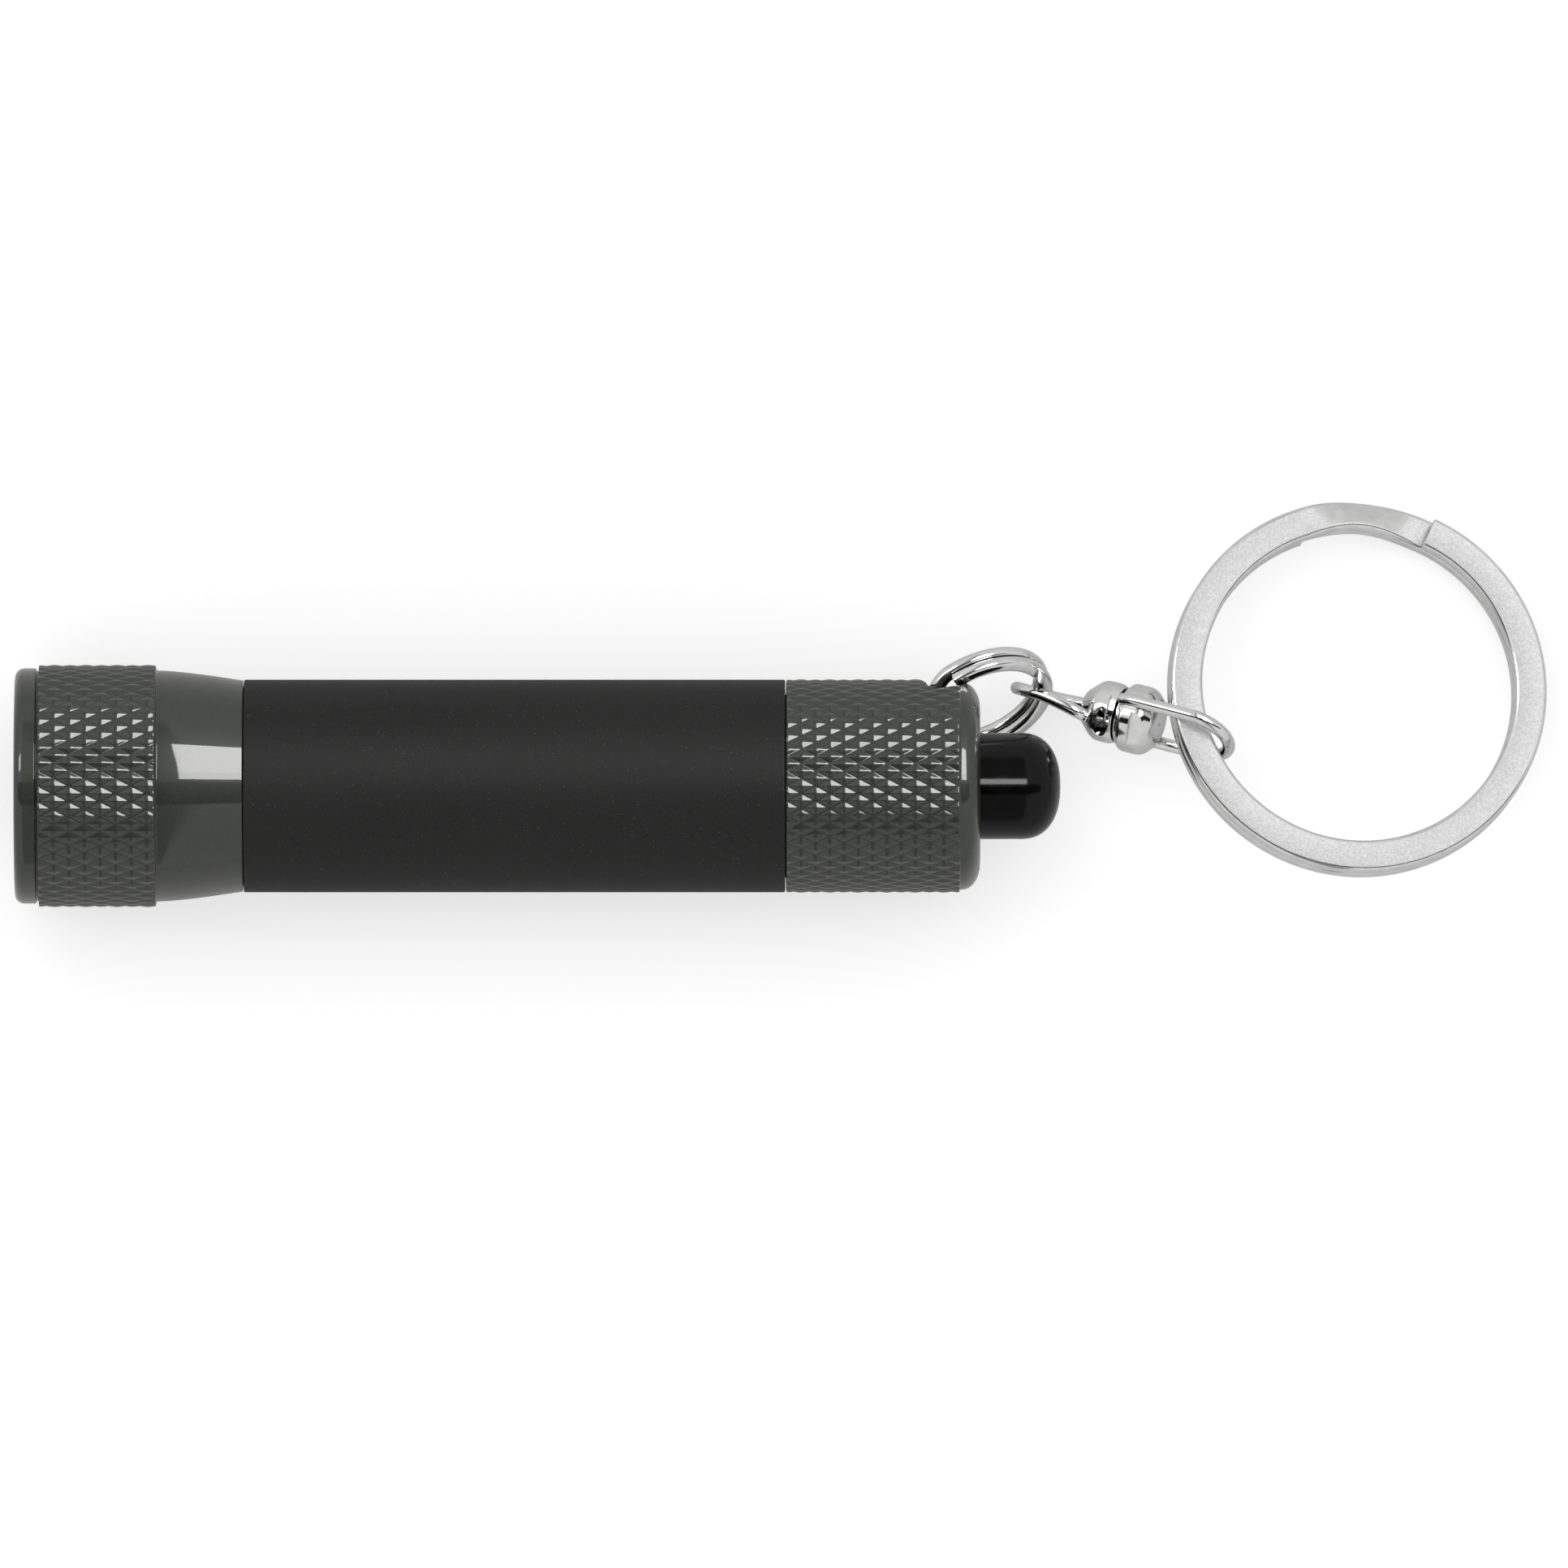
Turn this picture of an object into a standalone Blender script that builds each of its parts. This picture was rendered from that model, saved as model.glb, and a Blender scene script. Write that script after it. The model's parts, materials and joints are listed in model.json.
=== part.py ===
"""A keychain flashlight with a push button in its tail, a split ring, a wire swivel and a key ring.

Frame, in metres: +X runs along the barrel from the lens to the button, and the origin is the
centre of the lens's front face. The flashlight lies on its side, so +Z is up, away from the
surface that it rests on, which is at Z = -8 mm.
"""

import math

import bmesh
import bpy
from mathutils import Matrix, Quaternion, Vector

MM = 0.001
OUTER_SEGMENTS = 40
INNER_SEGMENTS = 24
SMALL_SEGMENTS = 18
MERGE_DISTANCE = 1e-6
GAP = 0.1 * MM  # between pieces that touch or slide in the real object

# Stations along the barrel, from the lens's front face.
RIM_FRONT = -0.6 * MM
KNURL_START = 0.98 * MM
KNURL_END = 8.67 * MM
HEAD_END = 14.25 * MM
TUBE_SHOULDER = 14.48 * MM
NOSE_FRONT = 9.65 * MM
TUBE_END = 50.03 * MM
CAP_START = 50.24 * MM
CAP_KNURL_END = 61.7 * MM
CAP_END = 62.94 * MM
BUTTON_END = 68.23 * MM

# Radii of the outside.
RIM_RADIUS = 7.75 * MM
RIM_CORNER = 0.85 * MM
HEAD_KNURL_RADIUS = 7.98 * MM
NECK_RADIUS = 7.58 * MM
NECK_END_RADIUS = 6.95 * MM
TUBE_RADIUS = 7.0 * MM
CAP_KNURL_RADIUS = 7.03 * MM
BUTTON_RADIUS = 3.5 * MM

# Bores and what runs in them.
BEZEL_RADIUS = 5.7 * MM
HEAD_BORE = 6.58 * MM
NOSE_RADIUS = 6.48 * MM
TUBE_BORE = 6.12 * MM
CELL_RADIUS = 5.8 * MM
CELL_HEIGHT = 5.4 * MM
CELL_PITCH = CELL_HEIGHT + 0.05 * MM
CELL_COUNT = 4
CELL_START = 10.5 * MM
SPIGOT_START = 46.0 * MM
SPIGOT_RADIUS = 6.02 * MM
CAP_BORE = 5.5 * MM
CAP_WALL_START = 58.0 * MM
BUTTON_WELL_FLOOR = 61.2 * MM
STEM_RADIUS = 2.38 * MM
STEM_END = 55.6 * MM
PLUNGER_FRONT = 49.0 * MM
HOUSING_BORE = 3.6 * MM
HOUSING_FLOOR = 44.3 * MM

# The ring through the tail cap: its centre, its plane and its wire.
SMALL_RING_CENTRE = Vector((63.04, 5.53, -3.2)) * MM
SMALL_RING_RISE = math.radians(25.3)
SMALL_RING_TILT = math.radians(57.0)
SMALL_RING_RADIUS = 4.35 * MM
SMALL_RING_WIRE = (1.0 * MM, 0.76 * MM)
SMALL_RING_COIL_STEP = 0.82 * MM
SMALL_RING_START = math.radians(103.0)
SLOT_LENGTH = 4.1 * MM
SLOT_WIDTH = 2.8 * MM
SLOT_CORNER = 0.9 * MM
SLOT_INSET = 3.2 * MM  # from the ring's centre to the slot's centre line
SLOT_ANGLE = math.radians(189.0)  # where the slot lies round the ring, from its widest diameter

# The swivel: a straight axis from the eye to the loop.
SWIVEL_START = Vector((71.19, 4.95, -3.7)) * MM
SWIVEL_SLOPE = math.radians(-14.6)
SWIVEL_RISE = math.radians(18.0)
BARREL_SPACING = 2.47 * MM
SWIVEL_WIRE = 0.45 * MM
EYE_REACH = 6.2 * MM
EYE_HALF_WIDTH = 2.1 * MM
LOOP_REACH = 6.35 * MM
LOOP_HALF_WIDTH = 2.4 * MM
LOOP_ROLL = math.radians(28.0)
EYE_PIVOT_REACH = 4.6 * MM  # from the eye's barrel to the small ring's wire
LOOP_PIVOT_REACH = 3.8 * MM  # from the loop's barrel to the key ring's wire
EYE_BARREL_RADIUS = 2.03 * MM
LOOP_BARREL_RADIUS = 2.28 * MM
BARREL_LENGTH = 2.6 * MM
BARREL_FACE = 1.17 * MM  # from a barrel's centre to its face on the other barrel
BARREL_WALL = 0.4 * MM  # between that face and the hollow for the rivet's head
WINDOW_PLACE = 1.2 * MM  # from that face to the window's centre
WINDOW_RADIUS = 0.72 * MM
FLAT_START = 1.15 * MM  # from that face to the flat on the loop's barrel
FLAT_HEIGHT = 2.05 * MM  # from the axis
FLAT_TURN = math.radians(10.0)
EYE_ROOT = (1.01 * MM, 1.31 * MM)  # where a leg starts: along from the barrel's centre, across
LOOP_ROOT = (-0.95 * MM, 2.15 * MM)
LEG_LEAVING = (0.35 * MM, 0.12 * MM)  # the leg's next point, from its root
LEG_FLARE = 1.1 * MM  # from the root to where the leg is at its full distance from the axis
RIVET_RADIUS = 0.5 * MM
RIVET_HEAD_RADIUS = 0.95 * MM
RIVET_HEAD_LENGTH = 0.45 * MM

# The key ring.
KEY_RING_CENTRE = Vector((87.8, 6.4, -3.75)) * MM
KEY_RING_TILT = math.radians(14.5)
KEY_RING_LEAN = math.radians(58.0)
KEY_RING_RADIUS = 11.47 * MM
KEY_RING_WIRE = (2.1 * MM, 1.14 * MM)
KEY_RING_COIL_STEP = 1.2 * MM
KEY_RING_START = math.radians(66.0)

# Split rings in general.
COIL_SWEEP = math.radians(318.0)
CROSSOVER_SWEEP = math.radians(40.0)
RING_STEP = math.radians(12.0)

GUNMETAL = ((0.052, 0.053, 0.048, 1.0), 0.28, 0.85)
CHARCOAL = ((0.022, 0.022, 0.021, 1.0), 0.55, 0.6)
BLACK_PLASTIC = ((0.006, 0.006, 0.006, 1.0), 0.3, 0.0)
BRIGHT_STEEL = ((0.68, 0.68, 0.69, 1.0), 0.16, 1.0)
CLEAR_PLASTIC = ((0.85, 0.9, 0.92, 1.0), 0.05, 0.0)
CHROMED_PLASTIC = ((0.86, 0.87, 0.88, 1.0), 0.06, 1.0)
BLACK_RUBBER = ((0.012, 0.012, 0.012, 1.0), 0.7, 0.0)
LED_EPOXY = ((0.85, 0.78, 0.45, 1.0), 0.15, 0.0)
BOARD_GREEN = ((0.03, 0.16, 0.06, 1.0), 0.5, 0.0)
BRASS = ((0.62, 0.44, 0.16, 1.0), 0.3, 1.0)
WHITE_PLASTIC = ((0.75, 0.75, 0.72, 1.0), 0.45, 0.0)
CELL_STEEL = ((0.6, 0.6, 0.6, 1.0), 0.25, 1.0)


def clear_scene():
    for obj in list(bpy.data.objects):
        bpy.data.objects.remove(obj)


def new_collection(name):
    collection = bpy.data.collections.new(name)
    bpy.context.scene.collection.children.link(collection)
    return collection


def give_finish(obj, finish):
    """The object's own Principled material, named for it."""
    colour, roughness, metallic = finish
    material = bpy.data.materials.new(obj.name)
    material.use_nodes = True
    shader = material.node_tree.nodes["Principled BSDF"]
    shader.inputs["Base Color"].default_value = colour
    shader.inputs["Roughness"].default_value = roughness
    shader.inputs["Metallic"].default_value = metallic
    material.diffuse_color = colour
    obj.data.materials.clear()
    obj.data.materials.append(material)


def hide_as_cutter(obj):
    obj.hide_render = True
    obj.display_type = "WIRE"


def arc(centre_x, centre_r, size_x, size_r, start, end, steps):
    """Points (x, r) of an elliptical arc, by angles in degrees from +X towards larger radius."""
    angles = [math.radians(start + (end - start) * i / steps) for i in range(steps + 1)]
    return [(centre_x + size_x * math.cos(a), centre_r + size_r * math.sin(a)) for a in angles]


def clockwise(outline):
    """The outline in the order that a Screw turns into faces pointing out."""
    area = 0.0
    for (x0, r0), (x1, r1) in zip(outline, outline[1:] + outline[:1]):
        area += r0 * x1 - r1 * x0
    return outline if area < 0 else outline[::-1]


def turned(name, outline, collection, segments, origin=Vector(), axis=Vector((1, 0, 0))):
    """A turned piece. The outline is (distance along the axis, radius), and one that starts and
    ends at radius 0 is solid; any other is a closed ring section."""
    points = clockwise(list(outline))
    if min(r for _, r in points) == 0.0:
        while points[0][1] != 0.0 or points[-1][1] != 0.0:
            points = points[1:] + points[:1]
    count = len(points)
    edges = [(i, i + 1) for i in range(count - 1)]
    if min(r for _, r in points) > 0.0:
        edges.append((count - 1, 0))
    mesh = bpy.data.meshes.new(name)
    mesh.from_pydata([(r, 0.0, x) for x, r in points], edges, [])
    obj = bpy.data.objects.new(name, mesh)
    collection.objects.link(obj)
    screw = obj.modifiers.new("Turn", "SCREW")
    screw.axis = "Z"
    screw.steps = segments
    screw.render_steps = segments
    screw.use_merge_vertices = True
    screw.merge_threshold = MERGE_DISTANCE
    screw.use_smooth_shade = True
    obj.rotation_mode = "QUATERNION"
    obj.rotation_quaternion = Vector((0, 0, 1)).rotation_difference(axis)
    obj.location = origin
    return obj


def wire(name, points, radius, collection):
    """A round wire through points, with closed ends."""
    curve = bpy.data.curves.new(name, "CURVE")
    curve.dimensions = "3D"
    curve.bevel_depth = radius
    curve.bevel_resolution = 2
    curve.use_fill_caps = True
    spline = curve.splines.new("POLY")
    spline.points.add(len(points) - 1)
    for spline_point, point in zip(spline.points, points):
        spline_point.co = (*point, 1.0)
    obj = bpy.data.objects.new(name, curve)
    collection.objects.link(obj)
    return obj


def mesh_of(curve_object, collection):
    """The curve made a mesh with welded caps, in the curve's place."""
    bpy.context.view_layer.update()
    graph = bpy.context.evaluated_depsgraph_get()
    mesh = bpy.data.meshes.new_from_object(curve_object.evaluated_get(graph))
    shape = bmesh.new()
    shape.from_mesh(mesh)
    bmesh.ops.remove_doubles(shape, verts=shape.verts, dist=MERGE_DISTANCE)
    bmesh.ops.recalc_face_normals(shape, faces=shape.faces)
    shape.to_mesh(mesh)
    shape.free()
    name = curve_object.name
    placed = curve_object.matrix_world.copy()
    bpy.data.objects.remove(curve_object)
    obj = bpy.data.objects.new(name, mesh)
    obj.matrix_world = placed
    collection.objects.link(obj)
    return obj


def combine(obj, other, operation):
    boolean = obj.modifiers.new(other.name, "BOOLEAN")
    boolean.operation = operation
    boolean.object = other


def hang_on(obj, pivot):
    """Parents obj to the pivot, leaving it where it is."""
    bpy.context.view_layer.update()
    obj.parent = pivot
    obj.matrix_parent_inverse = pivot.matrix_world.inverted()


def new_pivot(name, place, collection, parent=None):
    pivot = bpy.data.objects.new(name, None)
    pivot.location = place
    pivot.empty_display_size = 3 * MM
    collection.objects.link(pivot)
    if parent:
        hang_on(pivot, parent)
    return pivot


# ---------------------------------------------------------------- head

def make_head_shell(collection):
    """Bezel lip, knurled band and tapering neck, bored straight through from the neck's end."""
    lip_back = 0.5 * MM
    groove = 0.14 * MM
    outline = [(RIM_FRONT, BEZEL_RADIUS + 0.3 * MM)]
    corner_x = RIM_FRONT + RIM_CORNER
    outline += arc(corner_x, RIM_RADIUS - RIM_CORNER, RIM_CORNER, RIM_CORNER, 180, 90, 5)
    outline += [
        (KNURL_START - 2 * groove, RIM_RADIUS),
        (KNURL_START - groove, RIM_RADIUS - groove),
        (KNURL_START, HEAD_KNURL_RADIUS - groove),
        (KNURL_START + groove, HEAD_KNURL_RADIUS),
        (KNURL_END - groove, HEAD_KNURL_RADIUS),
        (KNURL_END, HEAD_KNURL_RADIUS - groove),
        (KNURL_END + groove, NECK_RADIUS),
        (10.0 * MM, NECK_RADIUS - 0.06 * MM),
        (HEAD_END - groove, NECK_END_RADIUS + 0.02 * MM),
        (HEAD_END, NECK_END_RADIUS - groove),
        (HEAD_END, HEAD_BORE),
        (lip_back, HEAD_BORE),
        (lip_back, BEZEL_RADIUS),
        (RIM_FRONT + 0.3 * MM, BEZEL_RADIUS),
    ]
    shell = turned("head_shell", outline, collection, OUTER_SEGMENTS)
    give_finish(shell, GUNMETAL)
    return shell


def make_lens(collection):
    """A stepped window: its flange sits behind the bezel lip, its centre fills the opening."""
    flange_front = 0.8 * MM
    back = 1.5 * MM
    raised = BEZEL_RADIUS - 0.15 * MM
    edge = 0.1 * MM
    flange = HEAD_BORE - GAP
    outline = [
        (0.0, 0.0), (0.0, raised - edge), (edge, raised), (flange_front, raised),
        (flange_front, flange), (back, flange), (back, 0.0),
    ]
    lens = turned("lens", outline, collection, INNER_SEGMENTS)
    give_finish(lens, CLEAR_PLASTIC)
    return lens


def make_lens_gasket(collection):
    section = 0.28 * MM
    outline = arc(1.85 * MM, 6.15 * MM, section, section, 0, 315, 7)
    gasket = turned("lens_gasket", outline, collection, INNER_SEGMENTS)
    give_finish(gasket, BLACK_RUBBER)
    return gasket


def make_reflector(collection):
    """A parabolic cup, r squared = 4 f (vertex - x), with a flange in front and a hole behind."""
    front = 2.25 * MM
    back = 7.3 * MM
    mouth_radius = 5.7 * MM
    hole_radius = 2.72 * MM
    four_f = (mouth_radius ** 2 - hole_radius ** 2) / (back - front)
    vertex = back + hole_radius ** 2 / four_f
    steps = 6
    cup = []
    for i in range(steps + 1):
        x = back + (front - back) * i / steps
        cup.append((x, math.sqrt(four_f * (vertex - x))))
    flange = HEAD_BORE - GAP
    outline = [
        (front, flange), (front + 0.6 * MM, flange),
        (front + 0.6 * MM, mouth_radius + 0.45 * MM), (back, hole_radius + 0.6 * MM),
    ]
    reflector = turned("reflector", outline + cup, collection, INNER_SEGMENTS)
    give_finish(reflector, CHROMED_PLASTIC)
    return reflector


def make_led(collection):
    """A straw-hat LED: a dome on a short body with a flange at its base."""
    dome_radius = 2.4 * MM
    dome_centre = 6.1 * MM
    base = 8.3 * MM
    outline = arc(dome_centre, 0.0, dome_radius, dome_radius, 180, 90, 5)
    outline[0] = (dome_centre - dome_radius, 0.0)
    outline += [
        (7.6 * MM, dome_radius), (7.6 * MM, dome_radius + 0.2 * MM),
        (base, dome_radius + 0.2 * MM), (base, 0.0),
    ]
    led = turned("led", outline, collection, SMALL_SEGMENTS)
    give_finish(led, LED_EPOXY)
    return led


def make_led_board(collection):
    front = 8.4 * MM
    back = 9.3 * MM
    edge = HEAD_BORE - 0.18 * MM
    outline = [(front, 0.0), (front, edge), (back, edge), (back, 0.0)]
    board = turned("led_board", outline, collection, INNER_SEGMENTS)
    give_finish(board, BOARD_GREEN)
    return board


def make_led_contact(collection):
    """The stud on the board's back that the first cell presses."""
    start = 9.4 * MM
    outline = [
        (start, 0.0), (start, 1.8 * MM), (9.8 * MM, 1.8 * MM),
        (10.0 * MM, 1.1 * MM), (10.38 * MM, 0.9 * MM), (10.38 * MM, 0.0),
    ]
    contact = turned("led_contact", outline, collection, SMALL_SEGMENTS)
    give_finish(contact, BRASS)
    return contact


# ---------------------------------------------------------------- cells

def make_battery_sleeve(collection):
    inner = CELL_RADIUS + 0.07 * MM
    outer = TUBE_BORE - 0.07 * MM
    end = CELL_START + CELL_COUNT * CELL_PITCH - 0.3 * MM
    outline = [(CELL_START, inner), (CELL_START, outer), (end, outer), (end, inner)]
    sleeve = turned("battery_sleeve", outline, collection, INNER_SEGMENTS)
    give_finish(sleeve, WHITE_PLASTIC)
    return sleeve


def make_cell(number, collection):
    """A button cell: the can faces the lens, the smaller cap faces the button."""
    start = CELL_START + (number - 1) * CELL_PITCH
    cap_radius = 4.7 * MM
    outline = [
        (0.0, 0.0), (0.0, CELL_RADIUS - 0.3 * MM), (0.3 * MM, CELL_RADIUS),
        (4.95 * MM, CELL_RADIUS), (5.1 * MM, CELL_RADIUS - 0.5 * MM), (5.1 * MM, cap_radius),
        (CELL_HEIGHT, cap_radius - 0.2 * MM), (CELL_HEIGHT, 0.0),
    ]
    cell = turned(f"cell_{number}", outline, collection, INNER_SEGMENTS, Vector((start, 0, 0)))
    give_finish(cell, CELL_STEEL)
    return cell


# ---------------------------------------------------------------- barrel

def make_body_tube(collection):
    """The plain tube, stepped down in front to the nose that goes into the neck."""
    edge = 0.1 * MM
    outline = [
        (NOSE_FRONT, TUBE_BORE), (NOSE_FRONT, NOSE_RADIUS - edge),
        (NOSE_FRONT + edge, NOSE_RADIUS), (TUBE_SHOULDER, NOSE_RADIUS),
        (TUBE_SHOULDER, TUBE_RADIUS - edge), (TUBE_SHOULDER + edge, TUBE_RADIUS),
        (TUBE_END - edge, TUBE_RADIUS), (TUBE_END, TUBE_RADIUS - edge), (TUBE_END, TUBE_BORE),
    ]
    tube = turned("body_tube", outline, collection, OUTER_SEGMENTS)
    give_finish(tube, CHARCOAL)
    return tube


def spring_points(start, end, start_radius, end_radius, turns, steps_per_turn):
    """A spring along +X whose first and last three quarters of a turn lie flat."""
    flat = 0.75
    count = int(turns * steps_per_turn)
    points = []
    for i in range(count + 1):
        turn = i / steps_per_turn
        climb = min(max((turn - flat) / (turns - 2 * flat), 0.0), 1.0)
        radius = start_radius + (end_radius - start_radius) * climb
        angle = 2 * math.pi * turn
        x = start + (end - start) * climb
        points.append(Vector((x, radius * math.cos(angle), radius * math.sin(angle))))
    return points


def make_battery_spring(collection):
    """The conical spring that holds the cells forward: its small end on the last cell."""
    radius = 0.25 * MM
    last_cell_end = CELL_START + (CELL_COUNT - 1) * CELL_PITCH + CELL_HEIGHT
    start = last_cell_end + radius + 0.05 * MM
    points = spring_points(start, 38.0 * MM, 2.0 * MM, 4.6 * MM, 5.0, 10)
    spring = wire("battery_spring", points, radius, collection)
    give_finish(spring, BRIGHT_STEEL)
    return spring


def make_contact_plate(collection):
    """The brass disc behind the spring, with a hole for the switch's rivet."""
    front = 38.35 * MM
    back = 38.8 * MM
    outline = [
        (front, 0.8 * MM), (front, 5.2 * MM), (front - 0.25 * MM, 5.4 * MM),
        (front - 0.25 * MM, 5.85 * MM), (back, 5.85 * MM), (back, 0.8 * MM),
    ]
    plate = turned("contact_plate", outline, collection, INNER_SEGMENTS)
    give_finish(plate, BRASS)
    return plate


# ---------------------------------------------------------------- tail

def slot_cutter(collection):
    """An oblong bar along the ring's chord through the cap, wide enough for the ring to swing."""
    inward, chord = slot_directions()
    past_the_cap = 24 * MM
    shape = bmesh.new()
    bmesh.ops.create_cube(shape, size=1.0)
    bmesh.ops.scale(shape, vec=(SLOT_LENGTH, SLOT_WIDTH, past_the_cap), verts=shape.verts)
    upright = [e for e in shape.edges if abs(e.verts[0].co.z - e.verts[1].co.z) > MM]
    bmesh.ops.bevel(
        shape, geom=upright, offset=SLOT_CORNER, segments=3, affect="EDGES", profile=0.5
    )
    mesh = bpy.data.meshes.new("ring_slot")
    shape.to_mesh(mesh)
    shape.free()
    cutter = bpy.data.objects.new("ring_slot", mesh)
    turn = Matrix((inward, chord.cross(inward), chord)).transposed().to_4x4()
    cutter.matrix_world = Matrix.Translation(slot_centre()) @ turn
    collection.objects.link(cutter)
    hide_as_cutter(cutter)
    return cutter


def slot_directions():
    """(from the ring's centre to the barrel, along the ring's chord through the cap)."""
    along, down, normal = ring_axes(SMALL_RING_RISE, SMALL_RING_TILT)
    inward = math.cos(SLOT_ANGLE) * along + math.sin(SLOT_ANGLE) * down
    return inward, inward.cross(normal)


def slot_centre():
    inward, _ = slot_directions()
    return SMALL_RING_CENTRE + SLOT_INSET * inward


def make_tail_cap(collection, cutters):
    """Knurled cap: a spigot into the tube, a wide bore for the switch, and a solid end with the
    button's stepped hole and the slot for the ring."""
    edge = 0.12 * MM
    neck_radius = 6.76 * MM
    outline = [
        (SPIGOT_START, CAP_BORE), (SPIGOT_START, SPIGOT_RADIUS - edge),
        (SPIGOT_START + edge, SPIGOT_RADIUS), (CAP_START, SPIGOT_RADIUS),
        (CAP_START, CAP_KNURL_RADIUS - edge), (CAP_START + edge, CAP_KNURL_RADIUS),
        (CAP_KNURL_END - 2 * edge, CAP_KNURL_RADIUS), (CAP_KNURL_END - edge, neck_radius),
    ]
    outline += arc(CAP_KNURL_END, 5.1 * MM, CAP_END - CAP_KNURL_END, neck_radius - 5.1 * MM, 90, 0, 5)
    well = BUTTON_RADIUS + 0.13 * MM
    outline += [
        (CAP_END, well + edge), (CAP_END - edge, well), (BUTTON_WELL_FLOOR, well),
        (BUTTON_WELL_FLOOR, STEM_RADIUS + 0.15 * MM), (CAP_WALL_START, STEM_RADIUS + 0.15 * MM),
        (CAP_WALL_START, CAP_BORE),
    ]
    cap = turned("tail_cap", outline, collection, OUTER_SEGMENTS)
    combine(cap, slot_cutter(cutters), "DIFFERENCE")
    give_finish(cap, GUNMETAL)
    return cap


def make_switch_housing(collection):
    """The plastic barrel of the push switch, with a shoulder for its retaining ring."""
    front = 39.1 * MM
    back = 56.2 * MM
    shoulder = 47.5 * MM
    edge = 0.2 * MM
    rivet_hole = 0.9 * MM
    waist = 4.9 * MM
    outer = CAP_BORE - 0.15 * MM
    outline = [
        (front, rivet_hole), (front, waist - edge), (front + edge, waist), (shoulder, waist),
        (shoulder, outer), (back, outer), (back, HOUSING_BORE),
        (HOUSING_FLOOR, HOUSING_BORE), (HOUSING_FLOOR, rivet_hole),
    ]
    housing = turned("switch_housing", outline, collection, INNER_SEGMENTS)
    give_finish(housing, WHITE_PLASTIC)
    return housing


def make_switch_retainer(collection):
    """The ring, screwed into the spigot, that keeps the switch in the cap."""
    front = 46.15 * MM
    back = 47.3 * MM
    inner = 5.0 * MM
    outer = CAP_BORE - 0.08 * MM
    outline = [(front, inner), (front, outer), (back, outer), (back, inner)]
    retainer = turned("switch_retainer", outline, collection, INNER_SEGMENTS)
    give_finish(retainer, BRASS)
    return retainer


def make_button_spring(collection):
    """The return spring between the switch housing's floor and the plunger."""
    radius = 0.22 * MM
    start = HOUSING_FLOOR + radius + 0.05 * MM
    end = PLUNGER_FRONT - radius - 0.05 * MM
    points = spring_points(start, end, 2.6 * MM, 2.6 * MM, 5.0, 10)
    spring = wire("button_spring", points, radius, collection)
    give_finish(spring, BRIGHT_STEEL)
    return spring


def make_switch_plunger(collection):
    """The plunger in the switch, with a socket for the button's stem."""
    radius = HOUSING_BORE - 0.2 * MM
    back = 57.65 * MM
    socket_floor = STEM_END - GAP
    socket = STEM_RADIUS + 0.07 * MM
    outline = [
        (PLUNGER_FRONT, 0.0), (PLUNGER_FRONT, radius - 0.3 * MM),
        (PLUNGER_FRONT + 0.3 * MM, radius), (back, radius), (back, socket),
        (socket_floor, socket), (socket_floor, 0.0),
    ]
    plunger = turned("switch_plunger", outline, collection, SMALL_SEGMENTS)
    give_finish(plunger, WHITE_PLASTIC)
    return plunger


def make_button(collection):
    """A domed button on a thinner stem."""
    seat = 62.35 * MM
    dome_start = 65.6 * MM
    edge = 0.1 * MM
    outline = [
        (STEM_END, 0.0), (STEM_END, STEM_RADIUS), (seat, STEM_RADIUS),
        (seat, BUTTON_RADIUS - edge), (seat + edge, BUTTON_RADIUS),
    ]
    dome = arc(dome_start, 0.0, BUTTON_END - dome_start, BUTTON_RADIUS, 90, 0, 8)
    dome[-1] = (BUTTON_END, 0.0)
    button = turned("button", outline + dome, collection, INNER_SEGMENTS + 4)
    give_finish(button, BLACK_PLASTIC)
    return button


# ---------------------------------------------------------------- rings

def ring_axes(rise, tilt):
    """Axes of a ring whose widest diameter rises by rise in the XY plane, tilted about it.
    The third is the ring's normal, on the side facing up."""
    along = Vector((math.cos(rise), math.sin(rise), 0.0))
    down = Vector((math.sin(rise) * math.cos(tilt), -math.cos(rise) * math.cos(tilt), -math.sin(tilt)))
    return along, down, down.cross(along)


def split_ring_points(radius, coil_step, start):
    """Two coils of wire side by side in the XY plane, seen clockwise from above: round the upper
    one, over to the lower one, and round that."""
    total = 2 * COIL_SWEEP + CROSSOVER_SWEEP
    count = round(total / RING_STEP)
    points = []
    for i in range(count + 1):
        swept = total * i / count
        over = min(max((swept - COIL_SWEEP) / CROSSOVER_SWEEP, 0.0), 1.0)
        height = coil_step * (0.5 - over * over * (3 - 2 * over))
        angle = start - swept
        points.append(Vector((radius * math.cos(angle), radius * math.sin(angle), height)))
    return points


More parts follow.
